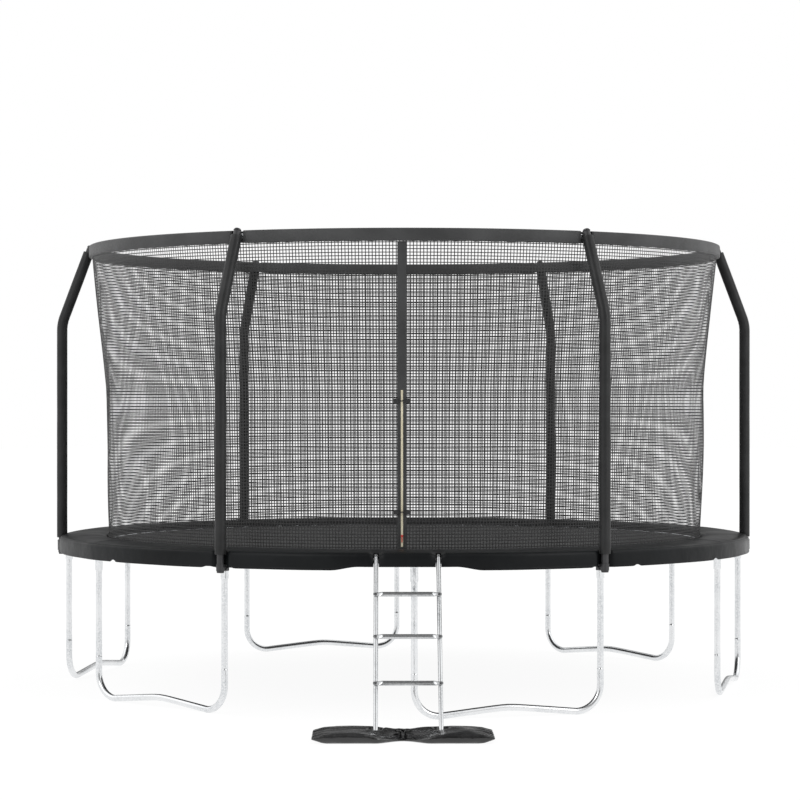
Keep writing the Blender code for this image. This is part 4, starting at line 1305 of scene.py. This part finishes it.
plug_plastic = paint_material("plug_plastic", (0.014, 0.014, 0.015), (0.028, 0.028, 0.03),
                              0.4, 0.55, 400.0, 0.0003)
for label, side in (("left", -1), ("right", 1)):
    middle = hinge + ladder_right * (side * LADDER_HALF_WIDTH)
    hook = begin_tube("hook", middle - ladder_out * HOOK_BEND - UP * HOOK_TAIL, UP, LADDER_TUBE * 0.8)
    draw_out(UP * 0.0015, 1.25)
    draw_out(UP * (HOOK_TAIL - 0.0015))
    bend_round(middle, ladder_right, 180.0 - math.degrees(LADDER_LEAN), 18)
    draw_out(rail_down * (HOOK_SOCKET - 0.0025))
    draw_out(rail_down * 0.0012, 0.93)
    draw_out(rail_down * 0.0008, 0.90)
    draw_out(rail_down * 0.030)
    hook = end_mesh(30)
    hook.name = f"hook_{label}"
    finish_piece(hook, ladder_zinc, "galvanised", "ladder", f"ladder_hook_{label}")
    mouth = middle + rail_front * HOOK_BEND + rail_down * HOOK_SOCKET
    side_rail = begin_tube("side_rail", mouth + rail_down * 0.010, -rail_down, 0.0108)
    draw_out(rail_down * -0.0095)
    draw_out(rail_down * -0.0005, 1.06)
    draw_out(rail_down * 0.0008, LADDER_TUBE / 0.01145)
    draw_out(rail_down * (RAIL_END - HOOK_SOCKET - 0.0048))
    draw_out(rail_down * 0.0004, 0.94)
    side_rail = end_mesh(30)
    side_rail.name = f"side_rail_{label}"
    finish_piece(side_rail, ladder_zinc, "galvanised", "ladder", f"ladder_rail_{label}")
    foot = middle + rail_front * HOOK_BEND + rail_down * (RAIL_END - 0.0042)
    plug = begin_tube("plug", foot - rail_down * 0.001, rail_down, 0.0110)
    draw_out(rail_down * 0.0012, 1.12)
    draw_out(rail_down * 0.0022)
    draw_out(rail_down * 0.0010, 0.90)
    draw_out(rail_down * 0.0006, 0.70)
    plug = end_mesh(35)
    plug.name = f"rail_plug_{label}"
    finish_piece(plug, plug_plastic, "cap_plastic", "ladder")

# Each rung is a tube with flattened, rounded ends, bolted to the front of both rails.
# Along the tube, how far each step goes and how much deeper and taller the section gets.
RUNG_SWELL = ((0.0040, 1.0, 1.36), (0.0075, 1.0, 1.16), (0.0200, 1.0, 1.06), (0.0050, 1.9, 1.06),
              (0.0060, 1.9, 1.02), (0.0080, 1.42, 1.00))
RUNG_MIDDLE = (0.004, 0.264, 0.004)
for number, along in enumerate(RUNG_PLACES, start=1):
    rung = begin_tube("rung", (RUNG_FROM, 0, 0), (1, 0, 0), RUNG_TUBE, 28)
    bpy.ops.transform.resize(value=(1.0, 0.17, 0.55), center_override=(0, 0, 0))
    for offset, deep, tall in RUNG_SWELL:
        bpy.ops.mesh.extrude_region_move(TRANSFORM_OT_translate={"value": (offset, 0, 0)})
        bpy.ops.transform.resize(value=(1.0, deep, tall), center_override=(0, 0, 0))
    for length in RUNG_MIDDLE:
        draw_out((length, 0, 0))
    for offset, deep, tall in reversed(RUNG_SWELL):
        bpy.ops.mesh.extrude_region_move(TRANSFORM_OT_translate={"value": (offset, 0, 0)})
        bpy.ops.transform.resize(value=(1.0, 1.0 / deep, 1.0 / tall), center_override=(0, 0, 0))
    rung = end_mesh(50)
    rung.name = f"rung_tube_{number}"
    middle = hinge + rail_front * (HOOK_BEND + LADDER_TUBE + 0.0030) + rail_down * along
    placed = Matrix((ladder_right, -rail_front, -rail_down)).transposed().to_4x4()
    rung.data.transform(Matrix.Translation(middle) @ placed)
    finish_piece(rung, ladder_zinc, "galvanised", "ladder", f"rung_{number}")
    bolts = []
    for side in (-1, 1):
        bolt_middle = middle + ladder_right * (side * LADDER_HALF_WIDTH) - rail_front * LADDER_TUBE
        bolts.append(bolt_through("bolt", bolt_middle, -rail_front, RUNG_BOLT_LENGTH, RUNG_BOLT_HEAD))
    rung_bolts = join_pieces(f"rung_bolts_{number}", bolts)
    finish_piece(rung_bolts, dark_bolt, "galvanised", "ladder")

# ---- Weight bag ------------------------------------------------------------------------------
# A long bag of glossy black vinyl, filled with sand and tied round its middle, lies on the ground
# under the ladder's feet. Its ends are welded flat. It is blown up as cloth and then settled.
BAG_HALF = 0.475
BAG_BACK = 2.775
BAG_FRONT = 3.126
BAG_SHIFT = -0.029
BAG_STEPS = 64
BAG_TIE = 2.945
MOST_TRAVEL = 0.010
foot_reach = hinge_reach + HOOK_BEND * math.cos(LADDER_LEAN) + RAIL_END * math.sin(LADDER_LEAN)
bag_turn = Matrix.Rotation(math.radians(LADDER_DEG), 4, "Z")
bag_place = Matrix.Translation(AXIS) @ bag_turn @ Matrix.Translation((0, BAG_SHIFT, 0))
bag_vinyl, tree, shader = new_material("bag_vinyl", 0.30, specular=0.50)
clouds = use_group(tree, clouding, Broad=9.0, Fine=380.0)
two_tone(tree, (clouds, "Broad"), (0.006, 0.006, 0.0063), (0.013, 0.013, 0.0135), shader.inputs["Base Color"])
rough = map_range(tree, (clouds, "Broad"), 0.0, 1.0, 0.14, 0.26)
join_nodes(tree, rough, "Result", shader, "Roughness")
creased = relief(tree, (clouds, "Broad"), 0.010, shader, 0.45)
relief(tree, (clouds, "Fine"), 0.0002, shader, 0.3, over=creased)
shader.inputs["Coat Weight"].default_value = 0.40
shader.inputs["Coat Roughness"].default_value = 0.18


def bag_section(along):
    """The bag's outline at a place along it: a full pillow each side of the tie, flat at the ends."""
    share = abs(along)
    shut = ease((share - 0.86) / 0.14)
    half = (BAG_FRONT - BAG_BACK) / 2 * (0.42 + 0.60 * ease(share / 0.30))
    height = 0.052 - 0.038 * shut
    ridge = 0.22 + 0.72 * ease((share - 0.04) / 0.42)
    centre = (BAG_FRONT + BAG_BACK) / 2
    outline = [(-0.93, 0.02), (-1.0, 0.30), (-0.985, 0.72), (-0.90, 0.95), (-0.50, 1.0)]
    outline += [(u, 1.0 + (ridge - 1.0) * ease((u + 0.45) / 1.42)) for u in (-0.10, 0.25, 0.60, 0.85)]
    outline += [(0.97, ridge), (1.0, ridge * 0.72), (0.995, ridge * 0.36), (0.93, 0.0), (0.0, 0.0)]
    foot = 0.0012 + 0.020 * shut
    return [Vector((centre + half * u, along * BAG_HALF, foot + height * v)) for u, v in outline]


stations = [-1.0 + 2.0 * k / BAG_STEPS for k in range(BAG_STEPS + 1)]
bag = outline_piece("bag", bag_section(stations[0]))
for _ in stations[1:]:
    draw_out((0, BAG_HALF * 2.0 / BAG_STEPS, 0))
bag = end_mesh()
sections = [point for station in stations for point in bag_section(station)]
for vertex, point in zip(bag.data.vertices, sections):
    vertex.co = point
skin = bag.modifiers.new("skin", "REMESH")
skin.mode = "VOXEL"
skin.voxel_size = 0.006
bpy.ops.object.modifier_apply(modifier=skin.name)
held = bag.vertex_groups.new(name="held")
for vertex in bag.data.vertices:
    share = abs(vertex.co.y) / BAG_HALF
    crest = bag_section(vertex.co.y / BAG_HALF)[9]
    from_crest = math.hypot(vertex.co.x - crest.x, vertex.co.z - crest.z)
    on_crest = 0.9 * (1.0 - ease((from_crest - 0.008) / 0.010))
    grip = max(1.0 - ease((share - 0.04) / 0.10), ease((share - 0.93) / 0.04), on_crest)
    held.add([vertex.index], grip, "REPLACE")
before = [v.co.copy() for v in bag.data.vertices]
cloth = bag.modifiers.new("blown", "CLOTH")
cloth.settings.quality = 4
cloth.settings.mass = 0.3
cloth.settings.vertex_group_mass = "held"
cloth.settings.use_pressure = True
cloth.settings.uniform_pressure_force = 4.0
cloth.settings.effector_weights.gravity = 0.0
cloth.settings.bending_stiffness = 0.6
cloth.point_cache.frame_start = 1
cloth.point_cache.frame_end = 20
for number in range(1, 21):
    bpy.context.scene.frame_set(number)
blown = bag.evaluated_get(bpy.context.evaluated_depsgraph_get()).to_mesh()
after = [v.co.copy() for v in blown.vertices]
bag.modifiers.remove(cloth)
bpy.context.scene.frame_set(1)
for vertex, start, end in zip(bag.data.vertices, before, after):
    move = end - start
    if move.length > MOST_TRAVEL:
        move = move.normalized() * MOST_TRAVEL
    vertex.co = start + move

for vertex in bag.data.vertices:
    out, along, height = vertex.co
    share = abs(along) / BAG_HALF
    top = ease((height - 0.012) / 0.02)
    # Creases run from the tie into both halves, and short ones from the welded ends.
    reach = math.hypot(along, (out - BAG_TIE) * 0.8)
    fan = math.atan2(out - BAG_TIE, abs(along) + 0.03)
    from_tie = math.exp(-((reach - 0.10) / 0.085) ** 2)
    height += top * 0.0055 * math.sin(fan * 11.0 + 0.7 * math.sin(along * 30)) * from_tie
    height += top * 0.0022 * math.sin(out * 70.0 + 2.0) * ease((share - 0.72) / 0.2)
    height += top * 0.0055 * noise.noise(Vector((out * 9.0, along * 7.0, 1.7)))
    for side in (-1, 1):
        foot_along = side * LADDER_HALF_WIDTH - BAG_SHIFT
        from_foot = math.hypot((out - foot_reach + 0.004) / 0.036, (along - foot_along) / 0.026)
        if from_foot < 2.2:
            height = min(height, 0.0178 + 0.018 * from_foot ** 1.6)
    vertex.co = Vector((out, along, max(0.0008, height)))
bag.name = "weight_bag"
smoothed = bag.modifiers.new("smoothed", "SMOOTH")
smoothed.factor = 0.5
smoothed.iterations = 12
finer = bag.modifiers.new("finer", "SUBSURF")
finer.levels = 1
finer.render_levels = 1
bpy.ops.object.select_all(action="DESELECT")
bpy.context.view_layer.objects.active = bag
bag.select_set(True)
bpy.ops.object.modifier_apply(modifier=smoothed.name)
bpy.ops.object.modifier_apply(modifier=finer.name)
bpy.ops.object.shade_smooth()
for vertex in bag.data.vertices:
    vertex.co.z = max(0.0006, vertex.co.z)
bag.data.transform(bag_place)
finish_piece(bag, bag_vinyl, "bag_vinyl", "frame", "sand_bag")

# A vinyl cord goes three times round the waist and is tied on top in a small bow.
TIE_REACH = 0.076
TIE_RADIUS = 0.0040
turns = []
for turn_at, tilt in ((-0.013, 6), (0.0, -2), (0.014, -7)):
    slant = 0.10 * math.sin(math.radians(tilt))
    turns.append([Vector((2.9505 + TIE_REACH * across, turn_at + slant * across, 0.0300 + 0.0250 * up))
                  for across, up in circle_points(30, 1.0)])
for side in (-1, 1):
    turns.append([Vector((2.985 + 0.013 * up + side * 0.004, side * (0.022 + 0.020 * across),
                          0.0560 + 0.0070 * up)) for across, up in circle_points(20, 1.0)])
strap_turns = []
for loop in turns:
    for here, there in zip(loop, loop[1:] + loop[:1]):
        begin_tube("strap", here, there - here, TIE_RADIUS, 8)
        draw_out((there - here) * 1.04)
        strap_turns.append(end_mesh(60))
bag_strap = join_pieces("bag_strap", strap_turns)
bag_strap.data.transform(bag_place)
finish_piece(bag_strap, bag_vinyl, "bag_vinyl", "frame")
